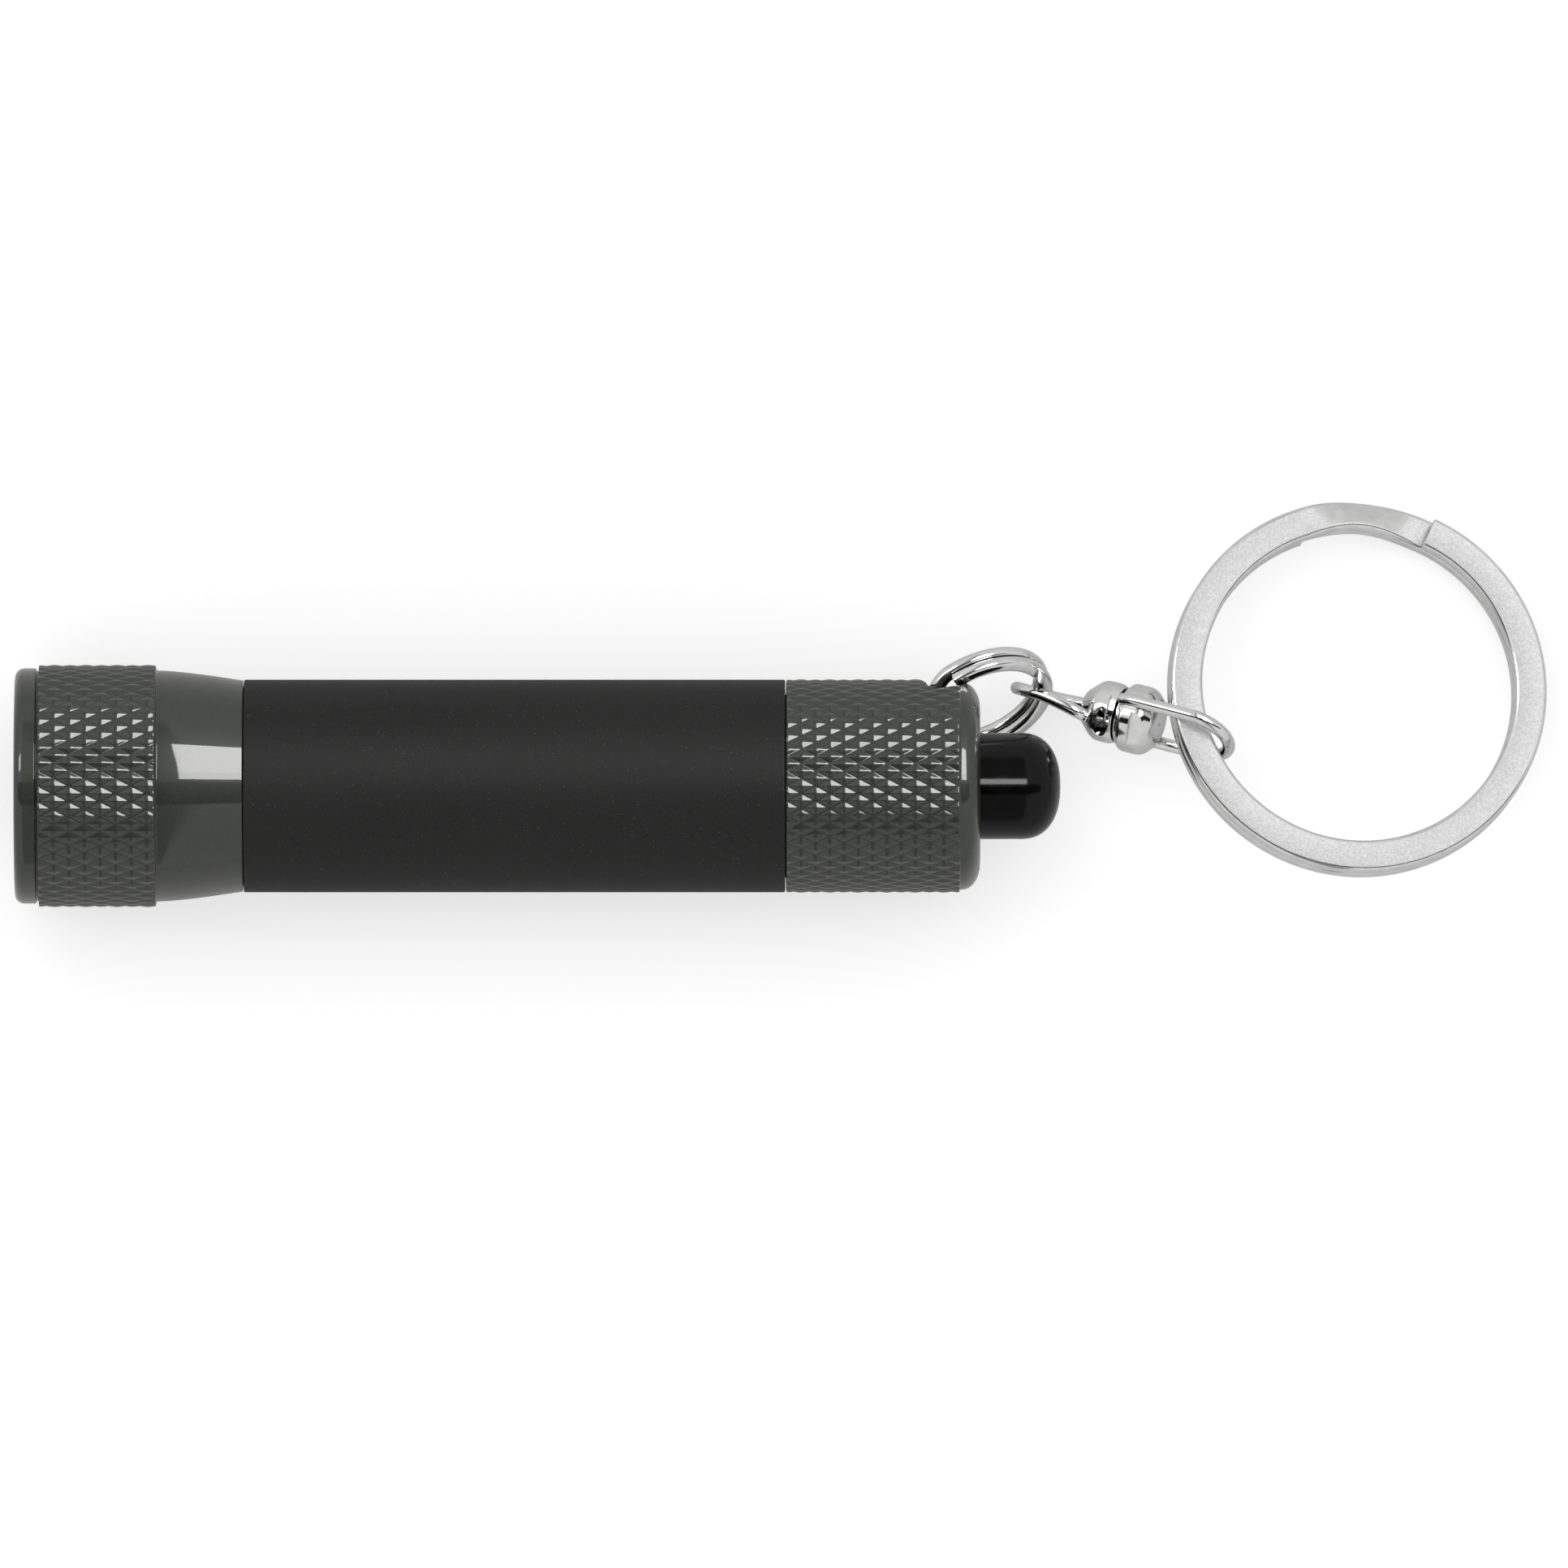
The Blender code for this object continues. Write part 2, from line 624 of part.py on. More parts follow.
def flat_wire_ring(name, radius, section, coil_step, start, collection, guides):
    """A split ring of flat wire. The section is (width across the ring, thickness)."""
    width, thickness = section
    corner = 0.26 * thickness
    profile = bpy.data.curves.new(name + "_section", "CURVE")
    outline = profile.splines.new("POLY")
    corners = []
    for side_x, side_y, first in ((1, 1, 0), (-1, 1, 1), (-1, -1, 0), (1, -1, 1)):
        long_end = (side_x * width / 2, side_y * (thickness / 2 - corner))
        short_end = (side_x * (width / 2 - corner), side_y * thickness / 2)
        corners += [short_end, long_end] if first else [long_end, short_end]
    outline.points.add(len(corners) - 1)
    for profile_point, (x, y) in zip(outline.points, corners):
        profile_point.co = (x, y, 0.0, 1.0)
    outline.use_cyclic_u = True
    guide = bpy.data.objects.new(name + "_section", profile)
    guides.objects.link(guide)
    hide_as_cutter(guide)
    points = split_ring_points(radius, coil_step, start)
    ring = wire(name, points, 0.0, collection)
    ring.data.bevel_mode = "OBJECT"
    ring.data.bevel_object = guide
    ring.data.twist_mode = "Z_UP"
    return ring


def place_ring(ring, centre, x_axis, normal):
    turn = Matrix((x_axis, normal.cross(x_axis), normal)).transposed().to_4x4()
    ring.matrix_world = Matrix.Translation(centre) @ turn


def make_small_split_ring(collection, guides):
    along, _, normal = ring_axes(SMALL_RING_RISE, SMALL_RING_TILT)
    ring = flat_wire_ring(
        "small_split_ring", SMALL_RING_RADIUS, SMALL_RING_WIRE, SMALL_RING_COIL_STEP,
        SMALL_RING_START, collection, guides,
    )
    ring = mesh_of(ring, collection)
    place_ring(ring, SMALL_RING_CENTRE, along, normal)
    give_finish(ring, BRIGHT_STEEL)
    return ring


def make_key_ring(collection, guides):
    lean = Vector((math.cos(KEY_RING_LEAN), math.sin(KEY_RING_LEAN), 0.0))
    normal = math.sin(KEY_RING_TILT) * lean + Vector((0, 0, math.cos(KEY_RING_TILT)))
    x_axis = (Vector((1, 0, 0)) - normal.x * normal).normalized()
    ring = flat_wire_ring(
        "key_ring", KEY_RING_RADIUS, KEY_RING_WIRE, KEY_RING_COIL_STEP,
        KEY_RING_START, collection, guides,
    )
    ring = mesh_of(ring, collection)
    place_ring(ring, KEY_RING_CENTRE, x_axis, normal)
    give_finish(ring, BRIGHT_STEEL)
    return ring


# ---------------------------------------------------------------- swivel

def swivel_axes():
    """(axis from the eye to the loop, sideways, up) of the swivel, each at right angles."""
    level = Vector((math.cos(SWIVEL_SLOPE), math.sin(SWIVEL_SLOPE), 0.0))
    axis = math.cos(SWIVEL_RISE) * level + Vector((0, 0, math.sin(SWIVEL_RISE)))
    up = (Vector((0, 0, 1)) - axis.z * axis).normalized()
    return axis, up.cross(axis), up


def barrel_outline(radius):
    """One half of the swivel, from its face on the other half (0) to its wire end. The hollow
    holds the rivet's head, behind a wall that the rivet's shank passes."""
    face_radius = min(radius, EYE_BARREL_RADIUS) - 0.18 * MM
    shank_hole = RIVET_RADIUS + 0.1 * MM
    end_hole = 0.5 * MM
    hollow = RIVET_HEAD_RADIUS + 0.3 * MM
    hollow_end = BARREL_LENGTH - 0.55 * MM
    shoulder = 1.5 * MM  # where the straight side ends and the rounding begins
    rounding = 1.0 * MM
    outline = [(0.0, shank_hole), (0.0, face_radius), (0.3 * MM, radius - 0.03 * MM)]
    outline += [(0.6 * MM, radius), (shoulder, radius)]
    outline += arc(shoulder, radius - rounding, BARREL_LENGTH - shoulder, rounding, 60, 0, 3)
    outline += [(BARREL_LENGTH, end_hole), (hollow_end, end_hole), (hollow_end, hollow)]
    outline += [(BARREL_WALL, hollow), (BARREL_WALL, shank_hole)]
    return outline


def window_cutter(name, face, along, direction, collection):
    """A round bar across a barrel, in the given direction, which opens its hollow on both sides."""
    reach = 4 * MM
    outline = [(-reach, 0.0), (-reach, WINDOW_RADIUS), (reach, WINDOW_RADIUS), (reach, 0.0)]
    centre = face + WINDOW_PLACE * along
    cutter = turned(name, outline, collection, SMALL_SEGMENTS, centre, direction)
    hide_as_cutter(cutter)
    return cutter


def flat_cutter(name, face, along, outward, collection):
    """A block that leaves a flat on one side of a barrel, behind its front band."""
    size = 4 * MM
    shape = bmesh.new()
    bmesh.ops.create_cube(shape, size=size)
    mesh = bpy.data.meshes.new(name)
    shape.to_mesh(mesh)
    shape.free()
    cutter = bpy.data.objects.new(name, mesh)
    centre = face + (FLAT_START + size / 2) * along + (FLAT_HEIGHT + size / 2) * outward
    turn = Matrix((along, outward, along.cross(outward))).transposed().to_4x4()
    cutter.matrix_world = Matrix.Translation(centre) @ turn
    collection.objects.link(cutter)
    hide_as_cutter(cutter)
    return cutter


def loop_points(reach, half_width, root):
    """A U of wire in the plane of (along, across), from one root round the bend to the other."""
    start, start_half_width = root
    bend = reach - half_width
    leaving = (start + LEG_LEAVING[0], start_half_width + LEG_LEAVING[1])
    points = [root, leaving, (start + LEG_FLARE, half_width)]
    steps = 12
    for i in range(steps + 1):
        angle = math.pi / 2 - math.pi * i / steps
        points.append((bend + half_width * math.cos(angle), half_width * math.sin(angle)))
    points += [(along, -across) for along, across in points[2::-1]]
    return points


def add_wire_loop(barrel, centre, along, across, outline, cutters):
    points = [centre + a * along + b * across for a, b in outline]
    loop = mesh_of(wire(barrel.name + "_wire", points, SWIVEL_WIRE, cutters), cutters)
    hide_as_cutter(loop)
    combine(barrel, loop, "UNION")


def make_swivel_eye(collection, cutters):
    """A barrel with a window across it and a wire eye. Its face looks at the loop's barrel."""
    axis, _, up = swivel_axes()
    face = SWIVEL_START + BARREL_FACE * axis
    outline = barrel_outline(EYE_BARREL_RADIUS)
    barrel = turned("swivel_eye", outline, collection, SMALL_SEGMENTS, face, -axis)
    combine(barrel, window_cutter("swivel_eye_window", face, -axis, up, cutters), "DIFFERENCE")
    wire_outline = loop_points(EYE_REACH, EYE_HALF_WIDTH, EYE_ROOT)
    add_wire_loop(barrel, SWIVEL_START, -axis, up, wire_outline, cutters)
    give_finish(barrel, BRIGHT_STEEL)
    return barrel


def make_swivel_loop(collection, cutters):
    """A larger barrel with a flat on one side and a wire loop whose legs lie over its band."""
    axis, _, up = swivel_axes()
    centre = SWIVEL_START + BARREL_SPACING * axis
    face = centre - BARREL_FACE * axis
    outline = barrel_outline(LOOP_BARREL_RADIUS)
    barrel = turned("swivel_loop", outline, collection, SMALL_SEGMENTS, face, axis)
    outward = Quaternion(axis, FLAT_TURN) @ up
    combine(barrel, flat_cutter("swivel_loop_flat", face, axis, outward, cutters), "DIFFERENCE")
    across = Quaternion(axis, -LOOP_ROLL) @ up
    wire_outline = loop_points(LOOP_REACH, LOOP_HALF_WIDTH, LOOP_ROOT)
    add_wire_loop(barrel, centre, axis, across, wire_outline, cutters)
    give_finish(barrel, BRIGHT_STEEL)
    return barrel


def make_swivel_rivet(collection):
    """The rivet through both barrels, with a head in each hollow."""
    axis, _, _ = swivel_axes()
    edge = 0.15 * MM
    near = BARREL_FACE - BARREL_WALL - GAP
    far = BARREL_SPACING - near
    near_end = near - RIVET_HEAD_LENGTH
    far_end = far + RIVET_HEAD_LENGTH
    outline = [
        (near_end, 0.0), (near_end, RIVET_HEAD_RADIUS - edge),
        (near_end + edge, RIVET_HEAD_RADIUS), (near, RIVET_HEAD_RADIUS),
        (near, RIVET_RADIUS), (far, RIVET_RADIUS), (far, RIVET_HEAD_RADIUS),
        (far_end - edge, RIVET_HEAD_RADIUS), (far_end, RIVET_HEAD_RADIUS - edge),
        (far_end, 0.0),
    ]
    rivet = turned("swivel_rivet", outline, collection, SMALL_SEGMENTS, SWIVEL_START, axis)
    give_finish(rivet, BRIGHT_STEEL)
    return rivet


def build():
    clear_scene()
    parts = new_collection("keychain_flashlight")
    cutters = new_collection("cutters")

    make_body_tube(parts)
    make_battery_spring(parts)
    make_contact_plate(parts)
    make_tail_cap(parts, cutters)
    make_switch_housing(parts)
    make_switch_retainer(parts)
    make_button_spring(parts)

    cell_slide = new_pivot("cell_slide", Vector(), parts)
    hang_on(make_battery_sleeve(parts), cell_slide)
    for number in range(1, CELL_COUNT + 1):
        hang_on(make_cell(number, parts), cell_slide)

    head_turn = new_pivot("head_turn", Vector(), parts, cell_slide)
    for make in (make_head_shell, make_lens, make_lens_gasket, make_reflector):
        hang_on(make(parts), head_turn)
    for make in (make_led, make_led_board, make_led_contact):
        hang_on(make(parts), head_turn)

    button_slide = new_pivot("button_slide", Vector((CAP_END, 0, 0)), parts)
    hang_on(make_button(parts), button_slide)
    hang_on(make_switch_plunger(parts), button_slide)

    ring_swing = new_pivot("ring_swing", slot_centre(), parts)
    hang_on(make_small_split_ring(parts, cutters), ring_swing)

    axis, _, _ = swivel_axes()
    eye_swing = new_pivot("eye_swing", SWIVEL_START - EYE_PIVOT_REACH * axis, parts, ring_swing)
    hang_on(make_swivel_eye(parts, cutters), eye_swing)
    hang_on(make_swivel_rivet(parts), eye_swing)

    swivel_spin = new_pivot("swivel_spin", SWIVEL_START, parts, eye_swing)
    hang_on(make_swivel_loop(parts, cutters), swivel_spin)

    crossing = SWIVEL_START + (BARREL_SPACING + LOOP_PIVOT_REACH) * axis
    key_ring_swing = new_pivot("key_ring_swing", crossing, parts, swivel_spin)
    hang_on(make_key_ring(parts, cutters), key_ring_swing)


build()
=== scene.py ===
import json
import math

import bmesh
import bpy
import numpy as np
from mathutils import Matrix, Quaternion, Vector


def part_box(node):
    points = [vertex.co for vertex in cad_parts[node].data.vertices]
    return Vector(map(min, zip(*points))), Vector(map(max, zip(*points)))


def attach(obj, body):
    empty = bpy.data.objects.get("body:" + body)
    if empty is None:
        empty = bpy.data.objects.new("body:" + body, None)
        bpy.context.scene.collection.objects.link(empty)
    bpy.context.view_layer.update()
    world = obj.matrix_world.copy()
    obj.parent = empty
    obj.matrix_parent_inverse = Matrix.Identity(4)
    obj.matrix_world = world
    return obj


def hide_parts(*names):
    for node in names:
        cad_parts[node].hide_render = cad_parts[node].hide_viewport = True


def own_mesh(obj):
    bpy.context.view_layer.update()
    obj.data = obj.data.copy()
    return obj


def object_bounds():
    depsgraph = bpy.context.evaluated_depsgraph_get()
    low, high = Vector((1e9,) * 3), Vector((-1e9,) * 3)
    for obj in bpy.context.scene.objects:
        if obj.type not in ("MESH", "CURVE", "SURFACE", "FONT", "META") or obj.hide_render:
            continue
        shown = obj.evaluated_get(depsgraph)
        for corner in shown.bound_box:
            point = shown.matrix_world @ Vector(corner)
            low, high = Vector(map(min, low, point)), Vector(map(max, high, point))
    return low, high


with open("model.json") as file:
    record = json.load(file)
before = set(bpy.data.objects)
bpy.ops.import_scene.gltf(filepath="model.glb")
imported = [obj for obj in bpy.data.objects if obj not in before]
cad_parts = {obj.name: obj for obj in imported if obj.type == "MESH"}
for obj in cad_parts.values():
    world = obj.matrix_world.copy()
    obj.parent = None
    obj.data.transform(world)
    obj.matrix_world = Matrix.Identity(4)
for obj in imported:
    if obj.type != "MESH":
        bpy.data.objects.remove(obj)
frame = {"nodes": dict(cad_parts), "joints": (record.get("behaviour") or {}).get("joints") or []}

CAD_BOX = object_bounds()
NODES = frame["nodes"]
JOINTS = {joint["name"]: joint for joint in frame["joints"]}

MM = 0.001
MERGE = 0.0002 * MM  # points nearer than this are one point
SAME = 0.00001 * MM  # lengths nearer than this are equal

KNURL_CREST = 1.3  # 1 leaves the diamonds' crests sharp, and more rounds them
KNURL_LIP = 0.2 * MM  # how far the band's two ends drop below its crests

THREAD_PITCH = 0.75 * MM
THREAD_DEPTH = 0.3 * MM
THREAD_CREST = 0.3  # in the groove's wave, what is left flat at the crest
THREAD_FLANK = 3.2  # and how steeply the flanks fall from it

# The rings lie as they do in the CAD.
SMALL_RING_CENTRE = Vector((63.04, 5.53, -3.2)) * MM
SMALL_RING_RISE = math.radians(25.3)
SMALL_RING_TILT = math.radians(57.0)
KEY_RING_CENTRE = Vector((87.8, 6.4, -3.75)) * MM
KEY_RING_TILT = math.radians(14.5)
KEY_RING_LEAN = math.radians(58.0)

BARREL_WALL = 0.4 * MM
BARREL_FACE = 1.17 * MM  # from where a swivel half starts to its barrel's face
BARREL_SPACING = 2.47 * MM  # between the places where the two halves start
SWIVEL_WIRE = 0.42 * MM


def span(node):
    """Lowest and highest X of a node, and its largest radius about the barrel's axis."""
    low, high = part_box(node)
    return low.x, high.x, max(high.y, high.z)


# ------------------------------------------------------------------ materials

class Look:
    """A material whose nodes are added one at a time, in the part's own coordinates."""

    def __init__(self, name):
        self.material = bpy.data.materials.new(name)
        self.material.use_nodes = True
        self.tree = self.material.node_tree
        self.shader = self.tree.nodes["Principled BSDF"]
        self.place = self.tree.nodes.new("ShaderNodeTexCoord").outputs["Object"]
        self.bumped = None

    def new(self, kind, **values):
        node = self.tree.nodes.new(kind)
        for key, value in values.items():
            if key in node.inputs:
                self.feed(node.inputs[key], value)
            else:
                setattr(node, key, value)
        return node

    def feed(self, socket, value):
        if isinstance(value, bpy.types.NodeSocket):
            self.tree.links.new(value, socket)
        else:
            socket.default_value = value

    def set(self, socket, value):
        self.feed(self.shader.inputs[socket], value)

    def noise(self, size, detail=3.0, stretch=(1.0, 1.0, 1.0)):
        """Noise whose features are about size across, stretched along the axes."""
        mapping = self.new("ShaderNodeMapping", Scale=tuple(1.0 / s for s in stretch))
        self.feed(mapping.inputs["Vector"], self.place)
        texture = self.new("ShaderNodeTexNoise", Scale=1.0 / size, Detail=detail)
        self.feed(texture.inputs["Vector"], mapping.outputs["Vector"])
        return texture.outputs["Fac"]

    def between(self, value, low=0.3, high=0.7, out_low=0.0, out_high=1.0):
        """Stretches low to high, which are the usual ends of a noise, to the two outputs."""
        node = self.new("ShaderNodeMapRange")
        for socket, number in zip(("From Min", "From Max", "To Min", "To Max"),
                                  (low, high, out_low, out_high)):
            node.inputs[socket].default_value = number
        self.feed(node.inputs["Value"], value)
        return node.outputs["Result"]

    def mix(self, share, first, second):
        node = self.new("ShaderNodeMix", data_type="RGBA")
        self.feed(node.inputs["Factor"], share)
        colour_sockets, colour_result = (6, 7), 2
        for socket, colour in zip(colour_sockets, (first, second)):
            self.feed(node.inputs[socket], colour)
        return node.outputs[colour_result]

    def math(self, operation, first, second=0.0):
        """One sum on two values. What needs one value leaves out the second."""
        node = self.new("ShaderNodeMath", operation=operation)
        self.feed(node.inputs[0], first)
        self.feed(node.inputs[1], second)
        return node.outputs["Value"]

    def bump(self, height, depth, strength):
        """Adds a bump of the given depth in metres on top of those before it."""
        node = self.new("ShaderNodeBump", Strength=strength, Distance=depth)
        self.feed(node.inputs["Height"], height)
        if self.bumped:
            self.feed(node.inputs["Normal"], self.bumped)
        self.bumped = node.outputs["Normal"]
        self.set("Normal", self.bumped)

    def painted_gap_shade(self, reach):
        """1 deep in gaps narrower than reach, 0 in the open: the mask where shade is painted dark.
        """
        shade = self.new("ShaderNodeAmbientOcclusion", Distance=reach, samples=6)
        return self.between(shade.outputs["AO"], 0.72, 0.25)

    def edges(self, radius):
        """1 on edges and corners of the shape, 0 on its open faces."""
        bevel = self.new("ShaderNodeBevel", Radius=radius, samples=4)
        surface = self.new("ShaderNodeNewGeometry").outputs["Normal"]
        dot = self.new("ShaderNodeVectorMath", operation="DOT_PRODUCT")
        self.feed(dot.inputs[0], bevel.outputs["Normal"])
        self.feed(dot.inputs[1], surface)
        return self.between(dot.outputs["Value"], 0.995, 0.9)


def rgb(value, warm=0.0):
    """A grey, a little redder and less blue when it is warm."""
    return (value * (1 + warm), value, value * (1 - warm), 1.0)


def lacquered_gunmetal():
    """Dark metallic paint under a clear gloss coat, lighter in patches on the sharpest edges,
    partly from wear and partly as a painted edge highlight.
    """
    look = Look("gunmetal_lacquer")
    flake = look.noise(0.05 * MM, 2.0)
    cloud = look.noise(3 * MM)
    base = look.mix(look.between(flake, 0.35, 0.65),
                    (0.015, 0.0168, 0.0138, 1), (0.034, 0.037, 0.031, 1))
    base = look.mix(look.between(cloud, 0.3, 0.7, 0.0, 0.25), base, (0.031, 0.034, 0.0285, 1))
    patches = look.between(look.noise(0.6 * MM), 0.5, 0.75)
    # Painted highlight, partly wear: the sharpest edges, such as the knurl's ridges, turn a lighter
    # grey in patches.
    lighter_edges = look.math("MULTIPLY", look.edges(0.06 * MM), patches)
    look.set("Base Color", look.mix(look.math("MULTIPLY", lighter_edges, 0.5), base, rgb(0.16)))
    look.set("Metallic", 0.2)
    look.set("Specular IOR Level", 0.25)
    look.set("Roughness", look.between(flake, 0.3, 0.7, 0.42, 0.55))
    look.set("Coat Tint", (0.97, 1.0, 0.93, 1))
    look.set("Coat Weight", 1.0)
    look.set("Coat Roughness", look.between(cloud, 0.3, 0.7, 0.02, 0.05))
    look.set("Coat IOR", 1.55)
    look.bump(look.noise(0.35 * MM, 1.0), 0.002 * MM, 0.5)
    return look.material


def matte_charcoal():
    """Bead-blasted, dark anodised tube with a fine, even grain."""
    look = Look("charcoal_anodised")
    grain = look.noise(0.07 * MM, 3.0)
    cloud = look.noise(6 * MM, 2.0, (3.0, 1.0, 1.0))
    base = look.mix(look.between(grain), rgb(0.019, 0.02), rgb(0.029, 0.02))
    base = look.mix(look.between(cloud, 0.35, 0.7, 0.0, 0.35), base, rgb(0.03, 0.02))
    speck = look.between(look.noise(0.12 * MM, 0.0), 0.79, 0.82)
    base = look.mix(speck, base, rgb(0.07))
    patches = look.between(look.noise(0.5 * MM), 0.5, 0.7)
    lighter_edges = look.math("MULTIPLY", look.edges(0.08 * MM), patches)
    look.set("Base Color", look.mix(look.math("MULTIPLY", lighter_edges, 0.5), base, rgb(0.2)))
    look.set("Metallic", 0.0)
    look.set("Roughness", look.between(cloud, 0.3, 0.7, 0.48, 0.54))
    look.set("Specular IOR Level", 0.12)
    look.bump(grain, 0.006 * MM, 0.6)
    return look.material


def black_plastic():
    """Glossy moulded plastic, as on the push button."""
    look = Look("black_moulded_plastic")
    grain = look.noise(0.09 * MM, 3.0)
    cloud = look.noise(1.5 * MM)
    look.set("Base Color", look.mix(look.between(cloud), rgb(0.0022), rgb(0.0045)))
    look.set("Roughness", look.between(cloud, 0.3, 0.7, 0.1, 0.14))
    look.set("Specular IOR Level", 0.2)
    look.bump(grain, 0.0015 * MM, 0.5)
    return look.material


def nickel(name, satin_axis=None, polish=0.06):
    """Nickel plate, with shade painted dark into its narrow gaps. With satin_axis, the faces across
    that axis are tumbled and sparkle.
    """
    look = Look(name)
    cloud = look.noise(0.9 * MM)
    scratches = look.noise(0.03 * MM, 2.0, (14.0, 1.0, 1.0))
    tone = look.mix(look.between(cloud), rgb(0.74, 0.004), rgb(0.86, 0.004))
    rough = look.between(cloud, 0.3, 0.7, polish, polish + 0.05)
    if satin_axis:
        normal = look.new("ShaderNodeNewGeometry").outputs["Normal"]
        local = look.new("ShaderNodeVectorTransform", vector_type="NORMAL",
                         convert_from="WORLD", convert_to="OBJECT")
        look.feed(local.inputs["Vector"], normal)
        dot = look.new("ShaderNodeVectorMath", operation="DOT_PRODUCT")
        look.feed(dot.inputs[0], local.outputs["Vector"])
        dot.inputs[1].default_value = satin_axis
        face = look.between(look.math("ABSOLUTE", dot.outputs["Value"]), 0.93, 0.985)
        spark = look.noise(0.16 * MM, 4.0)
        satin = look.mix(look.between(spark, 0.4, 0.62), rgb(0.8), rgb(0.95))
        tone = look.mix(face, tone, satin)
        rough = look.math("ADD", rough, look.math("MULTIPLY", face, 0.26))
        look.bump(look.math("MULTIPLY", face, spark), 0.02 * MM, 0.7)
    # Painted shade: the tone goes nearly black in gaps narrower than half a millimetre, such as
    # between the ring's coils.
    look.set("Base Color", look.mix(look.painted_gap_shade(0.5 * MM), tone, rgb(0.03)))
    look.set("Metallic", 1.0)
    look.set("Roughness", rough)
    look.bump(scratches, 0.0015 * MM, 0.3)
    look.bump(look.noise(0.5 * MM, 1.0), 0.006 * MM, 0.4)
    return look.material


def clear_plastic():
    """The front window, with a faint haze and moulding ripples."""
    look = Look("clear_window_plastic")
    haze = look.noise(0.8 * MM)
    look.set("Base Color", look.mix(look.between(haze),
                                    (0.97, 0.99, 1, 1), (0.93, 0.96, 0.98, 1)))
    look.set("Transmission Weight", 1.0)
    look.set("IOR", 1.49)
    look.set("Roughness", look.between(haze, 0.4, 0.7, 0.0, 0.015))
    look.bump(look.noise(1.4 * MM, 1.0), 0.004 * MM, 0.3)
    return look.material


def vacuum_chrome():
    """The reflector's mirror, rippled by the plastic under it."""
    look = Look("vacuum_chrome")
    ripple = look.noise(0.35 * MM, 2.0)
    look.set("Base Color", look.mix(look.between(ripple), rgb(0.82), rgb(0.9)))
    look.set("Metallic", 1.0)
    look.set("Roughness", look.between(ripple, 0.3, 0.7, 0.03, 0.09))
    look.bump(ripple, 0.006 * MM, 0.6)
    return look.material


def led_epoxy():
    """The LED's dome, clear with a warm tinge."""
    look = Look("led_epoxy")
    haze = look.noise(0.5 * MM)
    look.set("Base Color", look.mix(look.between(haze),
                                    (0.98, 0.95, 0.82, 1), (0.95, 0.9, 0.7, 1)))
    look.set("Transmission Weight", 0.85)
    look.set("IOR", 1.5)
    look.set("Roughness", look.between(haze, 0.3, 0.7, 0.03, 0.09))
    return look.material


def plain(name, colour, second, size, rough, metal=0.0, depth=0.004, stretch=(1, 1, 1)):
    """A two-tone grained finish, for the pieces inside."""
    look = Look(name)
    grain = look.noise(size, 3.0, stretch)
    cloud = look.noise(size * 12)
    tone = look.mix(look.between(grain), colour, second)
    lighter_edges = look.math("MULTIPLY", look.edges(0.1 * MM), look.between(cloud, 0.45, 0.7, 0.0, 0.5))
    rubbed = (*(min(1.0, c * 1.5 + 0.03) for c in colour[:3]), 1)
    look.set("Base Color", look.mix(lighter_edges, tone, rubbed))
    look.set("Metallic", metal)
    look.set("Roughness", look.between(cloud, 0.3, 0.7, rough, rough + 0.12))
    look.bump(grain, depth * MM, 0.5)
    return look.material


def paint(obj, material):
    obj.data.materials.clear()
    obj.data.materials.append(material)


# ------------------------------------------------------------------ turned pieces

def rounded(corners, closed=True, steps=5):
    """(x, r) points of an outline whose corners (x, r, radius) are rounded, in steps for each
    quarter turn. A support point by each side of a corner keeps flat faces flat when they are
    shaded smooth."""
    count = len(corners)
    points = []
    for i, (x, r, radius) in enumerate(corners):
        here = np.array((x, r))
        if radius <= 0 or (not closed and i in (0, count - 1)):
            points.append((x, r))
            continue
        before = np.array(corners[i - 1][:2])
        after = np.array(corners[(i + 1) % count][:2])
        to_before, to_after = before - here, after - here
        reach_before, reach_after = np.linalg.norm(to_before), np.linalg.norm(to_after)
        to_before, to_after = to_before / reach_before, to_after / reach_after
        half = math.acos(max(-1.0, min(1.0, float(to_before @ to_after)))) / 2
        trim = min(radius / math.tan(half), 0.45 * reach_before, 0.45 * reach_after)
        radius = trim * math.tan(half)
        middle = to_before + to_after
        centre = here + middle / np.linalg.norm(middle) * radius / math.sin(half)
        start, end = here + trim * to_before - centre, here + trim * to_after - centre
        turn = math.atan2(start[0] * end[1] - start[1] * end[0], float(start @ end))
        first = math.atan2(start[1], start[0])
        number = max(2, round(steps * abs(turn) / (math.pi / 2)))
        lead = min(0.04 * MM, 0.04 * min(reach_before, reach_after))
        points.append(tuple(here + (trim + lead) * to_before))
        for k in range(number + 1):
            angle = first + turn * k / number
            points.append(tuple(centre + radius * np.array((math.cos(angle), math.sin(angle)))))
        points.append(tuple(here + (trim + lead) * to_after))
    return points


def mesh_object(name, vertices, faces):
    """A smooth object in the scene, with coincident points made one."""
    mesh = bpy.data.meshes.new(name)
    mesh.from_pydata([tuple(v) for v in vertices], [], faces)
    shape = bmesh.new()
    shape.from_mesh(mesh)
    bmesh.ops.remove_doubles(shape, verts=shape.verts, dist=MERGE)
    bmesh.ops.recalc_face_normals(shape, faces=shape.faces)
    for face in shape.faces:
        face.smooth = True
    shape.to_mesh(mesh)
    shape.free()
    obj = bpy.data.objects.new(name, mesh)
    bpy.context.scene.collection.objects.link(obj)
    return obj


